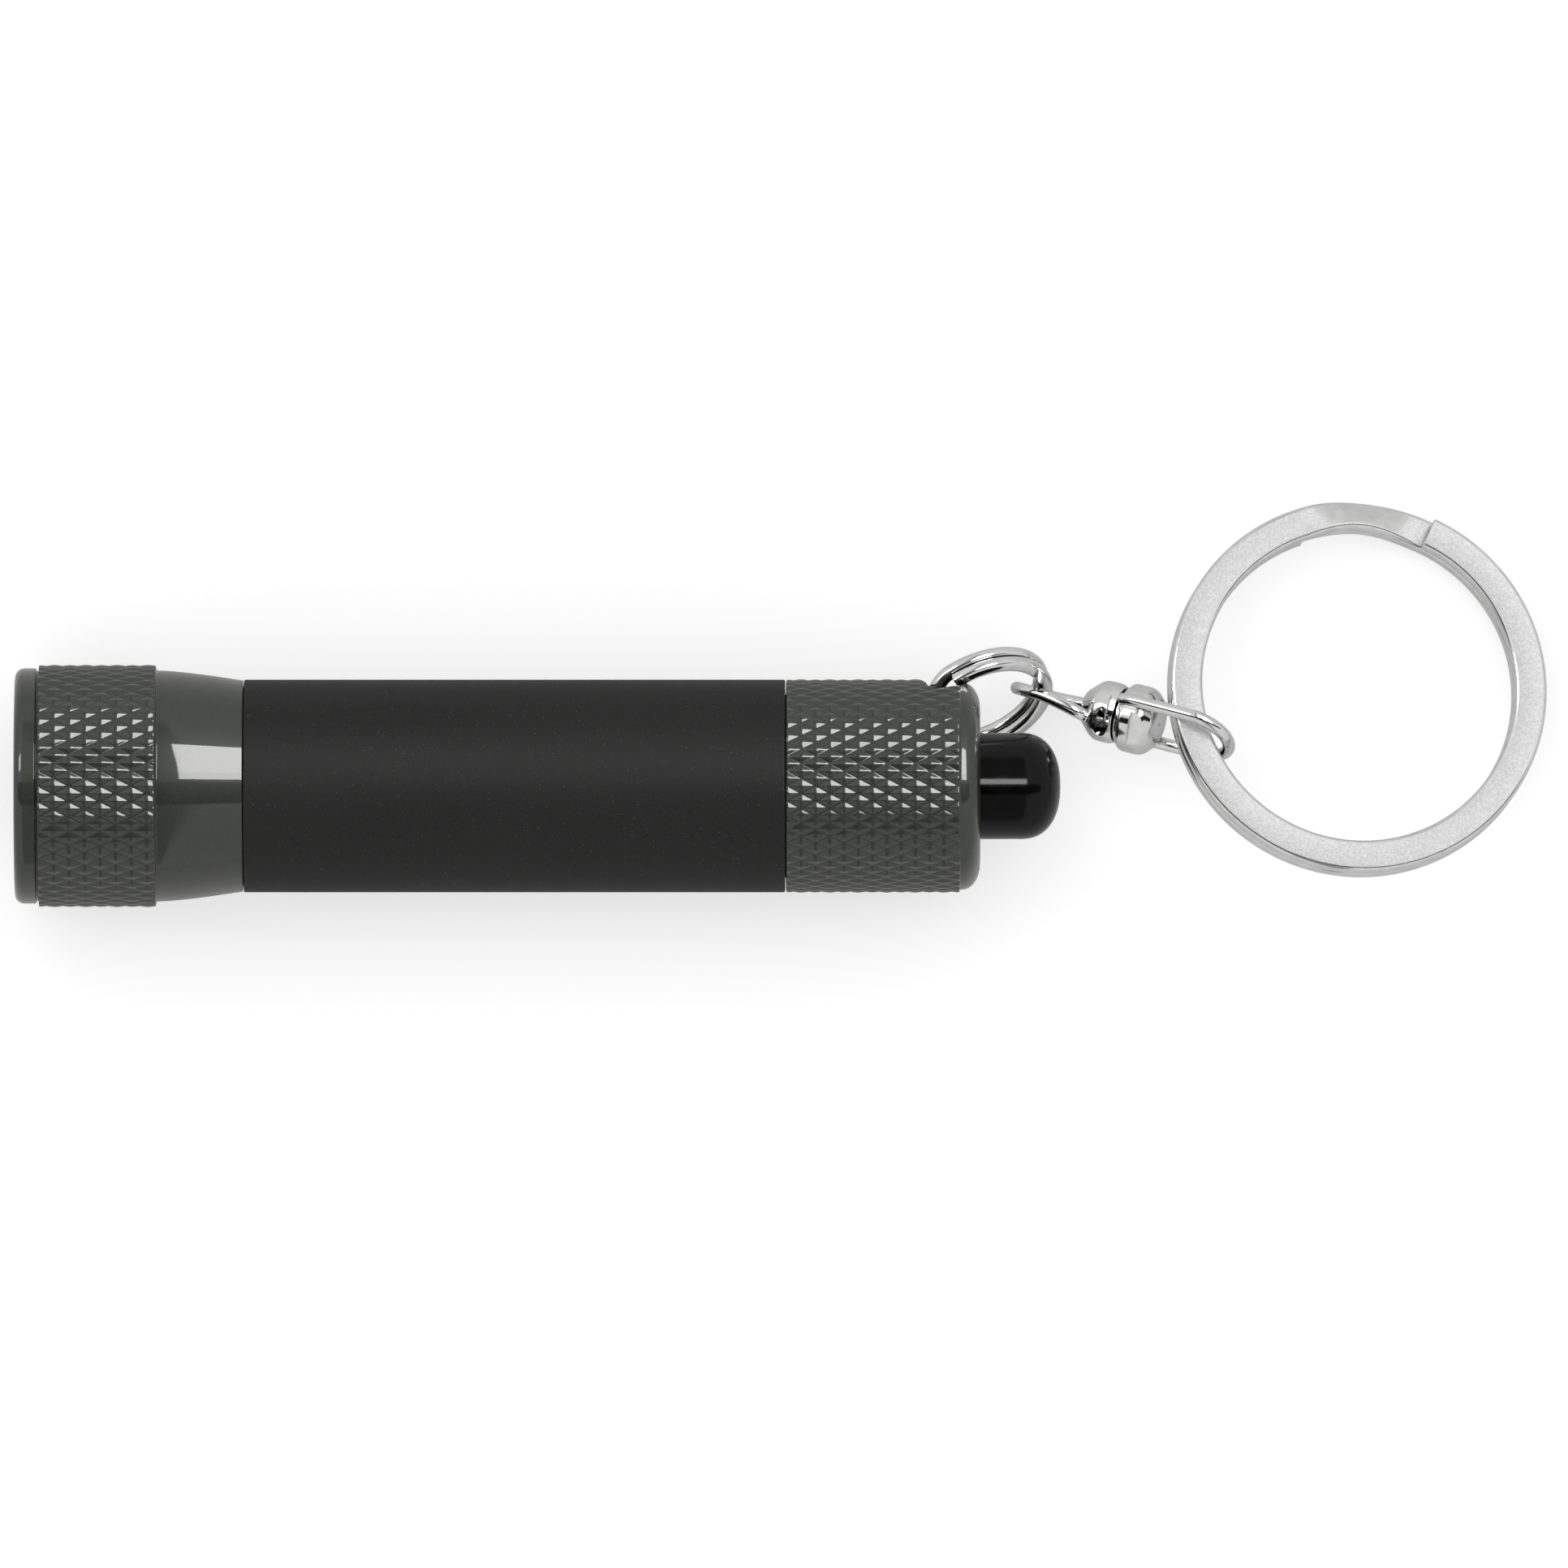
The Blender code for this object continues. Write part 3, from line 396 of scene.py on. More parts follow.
def revolve(name, outline, segments, radius_at=None, split=None):
    """Turns an outline of (x, r) about the X axis. radius_at(x, r, angle) may change the radius,
    and split(x, angle) says which way a quad is cut in two."""
    closed = min(r for _, r in outline) > 0
    count = len(outline)
    x = np.array([p[0] for p in outline])[:, None]
    r = np.array([p[1] for p in outline])[:, None]
    angle = 2 * math.pi * np.arange(segments)[None, :] / segments
    radius = np.broadcast_to(r, (count, segments)).copy()
    if radius_at:
        radius = radius_at(x, radius, angle)
    vertices = np.stack((np.broadcast_to(x, radius.shape), radius * np.cos(angle),
                         radius * np.sin(angle)), -1).reshape(-1, 3)
    faces = []
    for i in range(count if closed else count - 1):
        j = (i + 1) % count
        for k in range(segments):
            m = (k + 1) % segments
            a, b, c, d = i * segments + k, j * segments + k, j * segments + m, i * segments + m
            middle = float(x[i, 0] + x[j, 0]) / 2
            way = split(middle, (k + 0.5) * 2 * math.pi / segments) if split else 0
            if way > 0:
                faces += [(a, b, c), (a, c, d)]
            elif way < 0:
                faces += [(a, b, d), (b, c, d)]
            else:
                faces.append((a, b, c, d))
    return mesh_object(name, vertices, faces)


class Knurl:
    """Staggered diamonds between two stations, cut by two families of helical V grooves. There
    are as many grooves in each family as around says, and a diamond is long along the axis."""

    def __init__(self, start, end, crest, around, long, depth):
        self.start, self.end, self.crest = start, end, crest
        self.around, self.long, self.depth = around, long, depth

    def cell(self, x, angle):
        """Which groove of each family a point is at. Whole numbers are groove bottoms."""
        u = angle * self.around / (2 * math.pi)
        v = (x - self.start) / self.long
        return u + v, u - v

    def radius(self, x, r, angle):
        """The radius that the grooves leave."""
        first, second = self.cell(x, angle)
        near = np.minimum(np.abs(first - np.round(first)), np.abs(second - np.round(second))) * 2
        cut = self.crest - self.depth * (1 - near) ** KNURL_CREST
        band = (x > self.start - SAME) & (x < self.end + SAME) & (r > self.crest - self.depth)
        return np.where(band, np.minimum(r, cut), r)

    def split(self, x, angle):
        """Which way a quad is cut in two, so that its edges follow the nearer groove."""
        if not self.start < x < self.end:
            return 0
        first, second = self.cell(x, angle)
        return -1 if abs(first - round(first)) < abs(second - round(second)) else 1


def with_band(outline, knurl, rows):
    """The outline with dense rows where the knurl is, kept under the outline's own radius."""
    peak = max(r for _, r in outline)
    outside = [i for i, (x, r) in enumerate(outline)
               if knurl.start - SAME <= x <= knurl.end + SAME and r > peak - 1.2 * knurl.depth]
    xs, rs = np.array([outline[i] for i in outside]).T
    dense = np.linspace(knurl.start, knurl.end, rows + 1)
    every = np.unique(np.round(np.concatenate((dense, xs)), 9))
    keep = [every[0]]
    for value in every[1:]:
        if value - keep[-1] > 0.012 * MM:
            keep.append(value)
    band = [(float(v), float(np.interp(v, xs, rs))) for v in keep]
    return outline[:outside[0]] + band + outline[outside[-1] + 1:]


def tapered(start, end, radius, end_radius, rows=13):
    """Corners of a neck that narrows gently at first and faster towards its end."""
    curve = 1.35
    return [(start + (end - start) * i / rows,
             radius - (radius - end_radius) * (i / rows) ** curve, 0.0) for i in range(rows)]


def make_head():
    front, back, crest = span("head_shell")
    back += 0.17 * MM  # nearly closes the joint with the tube
    lens_front, _, _ = span("lens")
    seat = lens_front + 0.5 * MM
    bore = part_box("reflector")[1].y + 0.1 * MM
    opening, chamfer = 5.7 * MM, 0.25 * MM
    knurl = Knurl(lens_front + 0.98 * MM, lens_front + 8.67 * MM, crest, 48, 2.05 * MM, 0.15 * MM)
    slope = 0.16 * MM
    rim = crest - 0.23 * MM
    groove = rim - 0.16 * MM
    neck, neck_end = crest - 0.38 * MM, crest - 1.02 * MM
    outline = rounded([
        (front, opening + chamfer, 0.12 * MM), (front, rim, 0.85 * MM),
        (knurl.start - 0.2 * MM, rim, 0.06 * MM), (knurl.start - 0.14 * MM, groove, 0.03 * MM),
        (knurl.start - 0.04 * MM, groove, 0.03 * MM), (knurl.start, crest - KNURL_LIP, 0.0),
        (knurl.start + slope, crest, 0.05 * MM), (knurl.end - slope, crest, 0.05 * MM),
        (knurl.end, crest - KNURL_LIP, 0.0), (knurl.end + 0.1 * MM, neck, 0.1 * MM),
        *tapered(knurl.end + 0.4 * MM, back - 0.1 * MM, neck, neck_end),
        (back, neck_end, 0.05 * MM), (back, bore, 0.08 * MM),
        (seat, bore, 0.05 * MM), (seat, opening, 0.08 * MM),
        (front + chamfer, opening, 0.12 * MM),
    ], steps=8)
    outline = with_band(outline, knurl, 45)
    head = revolve("head_shell_lacquered", outline, 576, knurl.radius, knurl.split)
    paint(head, GUNMETAL)
    return head


def make_tube():
    """The tube, whose threaded nose is inside the head."""
    front, back, radius = span("body_tube")
    back += 0.08 * MM  # nearly closes the joint with the cap
    shoulder = span("head_shell")[1] + 0.22 * MM
    bore = span("battery_sleeve")[2] + 0.07 * MM
    nose, chamfer = 6.48 * MM, 0.3 * MM
    relief = nose - 0.2 * MM
    first, last = front + chamfer, shoulder - 0.7 * MM
    rows = [(float(x), nose, 0.0) for x in np.linspace(first, last, 60)]
    outline = rounded([
        (front, bore, 0.05 * MM), (front, nose - chamfer, 0.05 * MM), *rows,
        (shoulder - 0.5 * MM, relief, 0.1 * MM), (shoulder, relief, 0.1 * MM),
        (shoulder, radius, 0.12 * MM), (back, radius, 0.12 * MM), (back, bore, 0.05 * MM),
    ], steps=5)

    def threaded(x, r, angle):
        turn = (x - first) / THREAD_PITCH - angle / (2 * math.pi)
        wave = np.abs(turn - np.round(turn)) * THREAD_FLANK - THREAD_CREST
        run_out = 0.4 * MM
        fade = np.clip((x - first) / run_out, 0, 1) * np.clip((last - x) / run_out, 0, 1)
        cut = r - THREAD_DEPTH * np.clip(wave, 0.0, 1.0) * fade
        return np.where(np.abs(r - nose) < SAME, cut, r)

    tube = revolve("body_tube_anodised", outline, 192, threaded)
    paint(tube, CHARCOAL)
    return tube


def slot_bar(name):
    """The shape of the hole through the cap, along the small ring's chord. On the ring's outer
    side it is wide in the middle and narrow where it leaves the cap, as the ring is round."""
    swing = JOINTS["small_ring_swing"]
    chord = Vector(swing["axis"]).normalized()
    centre = Vector(swing["pos_m"])
    low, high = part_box("small_split_ring")
    inward = centre - (low + high) / 2
    inward = (inward - inward.dot(chord) * chord).normalized()
    side = chord.cross(inward)
    half, narrow = 2.05 * MM, 0.4 * MM
    middle, taper_end, beyond = 2.7 * MM, 3.5 * MM, 12 * MM
    section = rounded_section(2 * half, 2.8 * MM, 0.9 * MM, 8)
    stations = [(-beyond, narrow), (-taper_end, narrow), (-middle, half),
                (middle, half), (taper_end, narrow), (beyond, narrow)]
    vertices, faces = [], []
    for along, reach in stations:
        for x, y in section:
            x = (x + half) / (2 * half) * (reach + half) - half
            vertices.append(centre + x * inward + y * side + along * chord)
    count = len(section)
    for i in range(len(stations) - 1):
        for k in range(count):
            m = (k + 1) % count
            faces.append((i * count + k, i * count + m, (i + 1) * count + m, (i + 1) * count + k))
    faces.append(tuple(range(count)))
    faces.append(tuple(range(len(vertices) - count, len(vertices))))
    return mesh_object(name, vertices, faces)


def apply_boolean(obj, other, operation):
    """Applies the operation, marks the cut's rim sharp, and removes the other object. The two
    have different materials until then, which is how the rim is found."""
    cut = bpy.data.materials.new("cut")
    obj.data.materials.append(cut)
    paint(other, cut)
    boolean = obj.modifiers.new("Boolean", "BOOLEAN")
    boolean.operation = operation
    boolean.solver = "MANIFOLD"
    boolean.object = other
    boolean.material_mode = "TRANSFER"
    bpy.context.view_layer.update()
    graph = bpy.context.evaluated_depsgraph_get()
    mesh = bpy.data.meshes.new_from_object(obj.evaluated_get(graph))
    obj.modifiers.clear()
    obj.data = mesh
    shape = bmesh.new()
    shape.from_mesh(mesh)
    for edge in shape.edges:
        if len({face.material_index for face in edge.link_faces}) == 2:
            edge.smooth = False
    for face in shape.faces:
        face.smooth = True
        face.material_index = 0
    shape.to_mesh(mesh)
    shape.free()
    bpy.data.objects.remove(other)


def make_cap():
    """The knurled cap, with the button's well in its end and the small ring's slot."""
    front, back, crest = span("tail_cap")
    start = span("body_tube")[1] + 0.13 * MM
    knurl = Knurl(start + 0.05 * MM, start + 11.43 * MM, crest, 44, 1.88 * MM, 0.145 * MM)
    slope = 0.14 * MM
    spigot, bore = 6.02 * MM, 5.5 * MM
    wall = back - 4.94 * MM
    well_floor, well = back - 1.74 * MM, 3.63 * MM
    stem_hole = 2.53 * MM
    neck = crest - 0.2 * MM
    corner_start, corner_inner = back - 1.19 * MM, 5.1 * MM
    corner = [(corner_start + (back - corner_start) * math.sin(a),
               corner_inner + (neck - corner_inner) * math.cos(a), 0.0)
              for a in np.linspace(0.0, math.pi / 2, 16)]
    outline = rounded([
        (front, bore, 0.05 * MM), (front, spigot, 0.1 * MM),
        (start - 0.02 * MM, spigot, 0.02 * MM), (start, crest - KNURL_LIP, 0.0),
        (knurl.start + slope, crest, 0.05 * MM), (knurl.end - slope, crest, 0.05 * MM),
        (knurl.end, crest - 0.18 * MM, 0.0), *corner, (back, well, 0.15 * MM),
        (well_floor, well, 0.08 * MM), (well_floor, stem_hole, 0.05 * MM),
        (wall, stem_hole, 0.05 * MM), (wall, bore, 0.1 * MM),
    ], steps=8)
    outline = with_band(outline, knurl, 72)
    cap = revolve("tail_cap_lacquered", outline, 528, knurl.radius, knurl.split)
    paint(cap, GUNMETAL)
    apply_boolean(cap, slot_bar("slot_bar"), "DIFFERENCE")
    paint(cap, GUNMETAL)
    return cap


def make_button():
    """The button on its stem. Its dome is a little fuller than an ellipse."""
    front, back, radius = span("button")
    seat = back - 5.88 * MM
    stem = 2.38 * MM
    dome_start = back - 2.63 * MM
    outline = rounded([
        (front, 0.0, 0.0), (front, stem, 0.15 * MM), (seat, stem, 0.05 * MM),
        (seat, radius, 0.15 * MM), (dome_start, radius, 0.0),
    ], closed=False, steps=5)
    steps, power = 26, 0.86
    for k in range(1, steps + 1):
        a = math.pi / 2 * k / steps
        outline.append((dome_start + (back - dome_start) * math.sin(a) ** power,
                        radius * math.cos(a) ** power if k < steps else 0.0))
    button = revolve("push_button_cap", outline, 96)
    paint(button, BLACK)
    return button


def make_window():
    """The clear window, with a flange behind its raised middle."""
    front, back, flange = span("lens")
    raised, step = 5.55 * MM, front + 0.8 * MM
    outline = rounded([
        (front, 0.0, 0.0), (front, raised, 0.12 * MM), (step, raised, 0.04 * MM),
        (step, flange, 0.06 * MM), (back, flange, 0.06 * MM), (back, 0.0, 0.0),
    ], closed=False, steps=4)
    window = revolve("window_clear", outline, 128)
    paint(window, CLEAR)
    return window


def make_reflector():
    """A parabolic cup, as thin as moulded plastic, with a flange at its mouth."""
    front, back, flange = span("reflector")
    mouth, hole, rim = 5.7 * MM, 2.72 * MM, front + 0.6 * MM
    steps = 30
    four_f = (mouth ** 2 - hole ** 2) / (back - front)
    vertex = back + hole ** 2 / four_f
    cup = []
    for k in range(steps + 1):
        x = back + (front - back) * k / steps
        cup.append((x, math.sqrt(four_f * (vertex - x))))
    outline = [(front, flange), (rim, flange), (rim, mouth + 0.45 * MM), (back, hole + 0.6 * MM)]
    reflector = revolve("reflector_chromed", outline + cup, 144)
    paint(reflector, CHROME)
    return reflector


def make_led():
    """The clear dome, and the yellow phosphor in its cup inside."""
    front, back, base = span("led")
    dome = base - 0.2 * MM
    centre, collar = front + dome, back - 0.7 * MM
    outline = [(centre - dome * math.cos(a), dome * math.sin(a))
               for a in np.linspace(0, math.pi / 2, 20)]
    outline[0] = (front, 0.0)
    outline += rounded([
        (collar, dome, 0.05 * MM), (collar, base, 0.06 * MM),
        (back, base, 0.06 * MM), (back, 0.0, 0.0),
    ], closed=False, steps=3)
    led = revolve("led_dome", outline, 72)
    paint(led, EPOXY)
    cup_front, cup_back = back - 1.6 * MM, back - 0.6 * MM
    cup = revolve("led_phosphor", rounded([
        (cup_front + 0.15 * MM, 0.0, 0.0), (cup_front, 0.75 * MM, 0.1 * MM),
        (cup_front, 1.1 * MM, 0.1 * MM), (cup_back, 0.9 * MM, 0.1 * MM), (cup_back, 0.0, 0.0),
    ], closed=False, steps=3), 48)
    paint(cup, PHOSPHOR)
    return led, cup


# ------------------------------------------------------------------ swept pieces

def sweep(name, stations, section):
    """Sweeps a closed section along stations (point, across, up), and closes both ends with a
    small chamfer."""
    count = len(section)
    inset, shrink, sharp = 0.06 * MM, 0.9, math.radians(35)
    (p0, a0, u0), (p1, _, _) = stations[0], stations[1]
    (pn, an, un), (pm, _, _) = stations[-1], stations[-2]
    rows = [(p0, a0, u0, shrink), (p0 + (p1 - p0).normalized() * inset, a0, u0, 1.0)]
    for point, across, up in stations[1:-1]:
        rows.append((point, across, up, 1.0))
    rows.append((pn + (pm - pn).normalized() * inset, an, un, 1.0))
    rows.append((pn, an, un, shrink))
    vertices = []
    for point, across, up, scale in rows:
        for x, y in section:
            vertices.append(point + scale * (x * across + y * up))
    faces = []
    for i in range(len(rows) - 1):
        for k in range(count):
            m = (k + 1) % count
            faces.append((i * count + k, i * count + m, (i + 1) * count + m, (i + 1) * count + k))
    last = (len(rows) - 1) * count
    vertices.append(rows[0][0])
    vertices.append(rows[-1][0])
    for k in range(count):
        m = (k + 1) % count
        faces.append((len(vertices) - 2, m, k))
        faces.append((len(vertices) - 1, last + k, last + m))
    obj = mesh_object(name, vertices, faces)
    shape = bmesh.new()
    shape.from_mesh(obj.data)
    for edge in shape.edges:
        edge.smooth = edge.calc_face_angle(0.0) <= sharp
    shape.to_mesh(obj.data)
    shape.free()
    return obj


def rounded_section(width, thickness, corner, steps=5):
    """A rectangle with rounded corners."""
    points = []
    for quarter, (sx, sy) in enumerate(((1, 1), (-1, 1), (-1, -1), (1, -1))):
        cx, cy = sx * (width / 2 - corner), sy * (thickness / 2 - corner)
        for k in range(steps + 1):
            a = math.pi / 2 * (quarter + k / steps)
            points.append((cx + corner * math.cos(a), cy + corner * math.sin(a)))
    return points


def circle(radius, around):
    angles = [2 * math.pi * k / around for k in range(around)]
    return [(radius * math.cos(a), radius * math.sin(a)) for a in angles]


def split_ring(name, centre, x_axis, normal, radius, section, coil_step, start, step, lean=0.0):
    """Two coils of flat wire, one coil_step apart, from the angle start, in steps of so many
    degrees. With a lean, the outer edge leans down where the wire crosses between the coils."""
    coil, over = math.radians(318.0), math.radians(40.0)
    total = 2 * coil + over
    y_axis = normal.cross(x_axis)
    count = round(total / math.radians(step))
    stations = []
    for i in range(count + 1):
        swept = total * i / count
        share = min(max((swept - coil) / over, 0.0), 1.0)
        height = coil_step * (0.5 - share * share * (3 - 2 * share))
        angle = start - swept
        out = math.cos(angle) * x_axis + math.sin(angle) * y_axis
        roll = lean * math.sin(math.pi * share)
        across = math.cos(roll) * out - math.sin(roll) * normal
        up = math.cos(roll) * normal + math.sin(roll) * out
        stations.append((centre + radius * out + height * normal, across, up))
    return sweep(name, stations, rounded_section(*section))


def make_small_ring():
    rise = Quaternion((0, 0, 1), SMALL_RING_RISE)
    along = rise @ Vector((1, 0, 0))
    down = rise @ Vector((0, -math.cos(SMALL_RING_TILT), -math.sin(SMALL_RING_TILT)))
    section = (1.0 * MM, 0.76 * MM, 0.3 * MM)
    ring = split_ring("small_split_ring_plated", SMALL_RING_CENTRE, along, down.cross(along),
                      4.35 * MM, section, 0.82 * MM, math.radians(103.0), 2.5)
    paint(ring, NICKEL)
    return ring


def key_ring_axes():
    """The ring's own X axis and its normal."""
    level = Vector((math.cos(KEY_RING_LEAN), math.sin(KEY_RING_LEAN), 0.0))
    normal = math.sin(KEY_RING_TILT) * level + Vector((0, 0, math.cos(KEY_RING_TILT)))
    return (Vector((1, 0, 0)) - normal.x * normal).normalized(), normal


def make_key_ring():
    x_axis, normal = key_ring_axes()
    section = (2.1 * MM, 1.14 * MM, 0.3 * MM)
    ring = split_ring("key_ring_plated", KEY_RING_CENTRE, x_axis, normal, 11.47 * MM, section,
                      1.2 * MM, math.radians(66.0), 2.0, math.radians(32.0))
    paint(ring, RING_NICKEL)
    return ring


# ------------------------------------------------------------------ swivel

def round_wire(name, points, radius):
    """A round wire through points that lie nearly in a plane."""
    stations = []
    plane = (points[1] - points[0]).cross(points[len(points) // 2] - points[0]).normalized()
    for i, point in enumerate(points):
        before, after = points[max(i - 1, 0)], points[min(i + 1, len(points) - 1)]
        ahead = (after - before).normalized()
        across = (plane - plane.dot(ahead) * ahead).normalized()
        stations.append((point, across, ahead.cross(across)))
    return sweep(name, stations, circle(radius, 28))


def smooth_path(points, per_span):
    """A Catmull-Rom path through 2D points."""
    points = [np.array(p, float) for p in points]
    padded = [2 * points[0] - points[1]] + points + [2 * points[-1] - points[-2]]
    path = []
    for i in range(1, len(padded) - 2):
        p0, p1, p2, p3 = padded[i - 1:i + 3]
        for k in range(per_span):
            t = k / per_span
            path.append(0.5 * (2 * p1 + (p2 - p0) * t + (2 * p0 - 5 * p1 + 4 * p2 - p3) * t * t
                               + (3 * p1 - p0 - 3 * p2 + p3) * t ** 3))
    path.append(points[-1])
    return path


def on_axis(obj, origin, axis):
    """Moves a piece turned about X so that its X axis lies along axis, from origin."""
    turn = Vector((1, 0, 0)).rotation_difference(axis).to_matrix().to_4x4()
    obj.data.transform(Matrix.Translation(origin) @ turn)
    return obj


def barrel(name, face, along, radius, shoulder, end_radius):
    """Half of the swivel, from its face on the other half to its rounded wire end."""
    hole, face_radius, hollow, vent = 0.6 * MM, 1.86 * MM, 1.25 * MM, 0.12 * MM
    length = 2.6 * MM
    floor = length - 0.55 * MM
    outline = rounded([
        (0.0, hole, 0.05 * MM), (0.0, face_radius, 0.12 * MM), (0.42 * MM, radius, 0.4 * MM),
        (shoulder, radius, 0.9 * MM), (length, end_radius, 0.7 * MM), (length, vent, 0.05 * MM),
        (floor, vent, 0.05 * MM), (floor, hollow, 0.1 * MM), (BARREL_WALL, hollow, 0.1 * MM),
        (BARREL_WALL, hole, 0.05 * MM),
    ], steps=10)
    piece = on_axis(revolve(name, outline, 128), face, along)
    paint(piece, NICKEL)
    return piece


def wire_loop(name, centre, along, across, reach, half_width, root, lean=0.0):
    """A U of wire, from its root (how far along, how far across) round to the other side. With a
    lean, its legs part sideways as they near their roots, the second leg less and the other way."""
    start, start_half = root
    curve, second_leg = 1.4, -0.4
    bend = reach - half_width
    flat = [root, (start + 0.35 * MM, start_half + 0.12 * MM), (start + 1.1 * MM, half_width)]
    steps = 12
    for i in range(steps + 1):
        a = math.pi / 2 - math.pi * i / steps
        flat.append((bend + half_width * math.cos(a), half_width * math.sin(a)))
    flat += [(x, -y) for x, y in flat[2::-1]]
    points = []
    for a, b in smooth_path(flat, 4):
        share = min(max((bend - a) / (bend - start), 0.0), 1.0)
        shift = float(lean * share ** curve * (1.0 if b > 0 else second_leg))
        points.append(centre + float(a) * along + float(b) * across + shift * across.cross(along))
    return round_wire(name, points, SWIVEL_WIRE)


def oval_bar(name, centre, direction, along):
    """A bar with an oval section, for the window through the eye's barrel."""
    reach, radius, oval = 4 * MM, 0.56 * MM, 1.9
    bar = revolve(name, [(-reach, 0.0), (-reach, radius), (reach, radius), (reach, 0.0)], 72)
    turn = Matrix((direction, along, direction.cross(along))).transposed().to_4x4()
    bar.data.transform(Matrix.Translation(centre) @ turn @ Matrix.Diagonal((1, 1, oval, 1)))
    return bar


def flat_block(name, face, along, outward):
    """A block that leaves a flat on a barrel, behind its front band."""
    size, start, height = 4 * MM, 1.15 * MM, 1.98 * MM
    shape = bmesh.new()
    bmesh.ops.create_cube(shape, size=size)
    centre = face + (start + size / 2) * along + (height + size / 2) * outward
    turn = Matrix((along, outward, along.cross(outward))).transposed().to_4x4()
    bmesh.ops.transform(shape, matrix=Matrix.Translation(centre) @ turn, verts=shape.verts)
    mesh = bpy.data.meshes.new(name)
    shape.to_mesh(mesh)
    shape.free()
    block = bpy.data.objects.new(name, mesh)
    bpy.context.scene.collection.objects.link(block)
    return block


def make_swivel():
    """The two halves, each a barrel with its wire, and the rivet that joins them."""
    spin = JOINTS["swivel_spin"]
    axis = Vector(spin["axis"]).normalized()
    start = Vector(spin["pos_m"])
    up = (Vector((0, 0, 1)) - axis.z * axis).normalized()

    face = start + BARREL_FACE * axis
    eye = barrel("swivel_eye_plated", face, -axis, 2.03 * MM, 1.5 * MM, 1.0 * MM)
    facing = Quaternion(axis, math.radians(24.0)) @ up
    apply_boolean(eye, oval_bar("window", face - 0.74 * MM * axis, facing, axis), "DIFFERENCE")
    legs = wire_loop("eye_wire", start, -axis, up, 6.2 * MM, 2.1 * MM, (0.55 * MM, 1.5 * MM),
                     0.7 * MM)
    apply_boolean(eye, legs, "UNION")
    paint(eye, NICKEL)

    centre = start + BARREL_SPACING * axis
    face = centre - BARREL_FACE * axis
    loop = barrel("swivel_loop_plated", face, axis, 2.28 * MM, 1.8 * MM, 1.45 * MM)
    outward = Quaternion(axis, math.radians(20.0)) @ up
    apply_boolean(loop, flat_block("flat", face, axis, outward), "DIFFERENCE")
    rolled = Quaternion(axis, math.radians(-28.0)) @ up
    legs = wire_loop("loop_wire", centre, axis, rolled, 6.35 * MM, 2.4 * MM,
                     (-0.95 * MM, 2.15 * MM))
    apply_boolean(loop, legs, "UNION")
    paint(loop, NICKEL)

    near = BARREL_FACE - BARREL_WALL - 0.1 * MM
    far = BARREL_SPACING - near
    head, shank, thick = 0.95 * MM, 0.5 * MM, 0.45 * MM
    outline = rounded([
        (near - thick, 0.0, 0.0), (near - thick, head, 0.3 * MM), (near, head, 0.06 * MM),
        (near, shank, 0.03 * MM), (far, shank, 0.03 * MM), (far, head, 0.06 * MM),
        (far + thick, head, 0.3 * MM), (far + thick, 0.0, 0.0),
    ], closed=False, steps=8)
    rivet = on_axis(revolve("swivel_rivet_plated", outline, 64), start, axis)
    paint(rivet, NICKEL)
    return eye, loop, rivet


def make_button_spring():
    """The return spring, at one fixed length."""
    low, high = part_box("button_spring")
    radius = 0.22 * MM
    start, end = low.x + radius, high.x - radius
    coil = high.y - radius
    turns, flat, per_turn = 5, 0.75, 32
    ahead = Vector((1, 0, 0))
    stations = []
    for i in range(turns * per_turn + 1):
        turn = i / per_turn
        climb = min(max((turn - flat) / (turns - 2 * flat), 0.0), 1.0)
        a = 2 * math.pi * turn
        out = Vector((0, math.cos(a), math.sin(a)))
        stations.append(((start + (end - start) * climb) * ahead + coil * out, out, ahead))
    spring = sweep("button_spring_wire", stations, circle(radius, 12))
    paint(spring, SPRING)
    return spring


# ------------------------------------------------------------------ studio

FLOOR_GLOW = 0.5  # what the camera alone sees added to the floor
LIGHT_HEIGHT = 1.5


def floor_material():
    """Matt, nearly white paper."""
    look = Look("pale_floor")
    cloud = look.noise(0.4)
    look.set("Base Color", look.mix(look.between(cloud), rgb(0.80), rgb(0.83)))
    look.set("Roughness", 0.9)
    look.set("Specular IOR Level", 0.1)
    seen = look.new("ShaderNodeLightPath").outputs["Is Camera Ray"]
    look.set("Emission Color", (1, 1, 1, 1))
    look.set("Emission Strength", look.math("MULTIPLY", seen, FLOOR_GLOW))
    return look.material


def make_floor(height):
    half = 20.0
    floor = mesh_object("floor", [(-half, -half, height), (half, -half, height),
                                  (half, half, height), (-half, half, height)], [(0, 1, 2, 3)])
    paint(floor, floor_material())


def light(name, centre, across_deg, up_deg, radiance, kind):
    """A level soft box over the part, seen from it between two angles across and two up. Its
    kind, diffuse or glossy, is the only light that it gives."""
    (x0, x1), (y0, y1) = [[LIGHT_HEIGHT * math.tan(math.radians(a)) for a in pair]
                          for pair in (across_deg, up_deg)]
    data = bpy.data.lights.new(name, "AREA")
    data.shape = "RECTANGLE"
    data.size = x1 - x0
    data.size_y = y1 - y0
    data.energy = radiance * math.pi * data.size * data.size_y
    lamp = bpy.data.objects.new(name, data)
    lamp.location = centre + Vector(((x0 + x1) / 2, (y0 + y1) / 2, LIGHT_HEIGHT))
    bpy.context.scene.collection.objects.link(lamp)
    lamp.visible_camera = False
    lamp.visible_diffuse = kind == "diffuse"
    lamp.visible_glossy = kind == "glossy"
    lamp.visible_transmission = lamp.visible_glossy
    return lamp


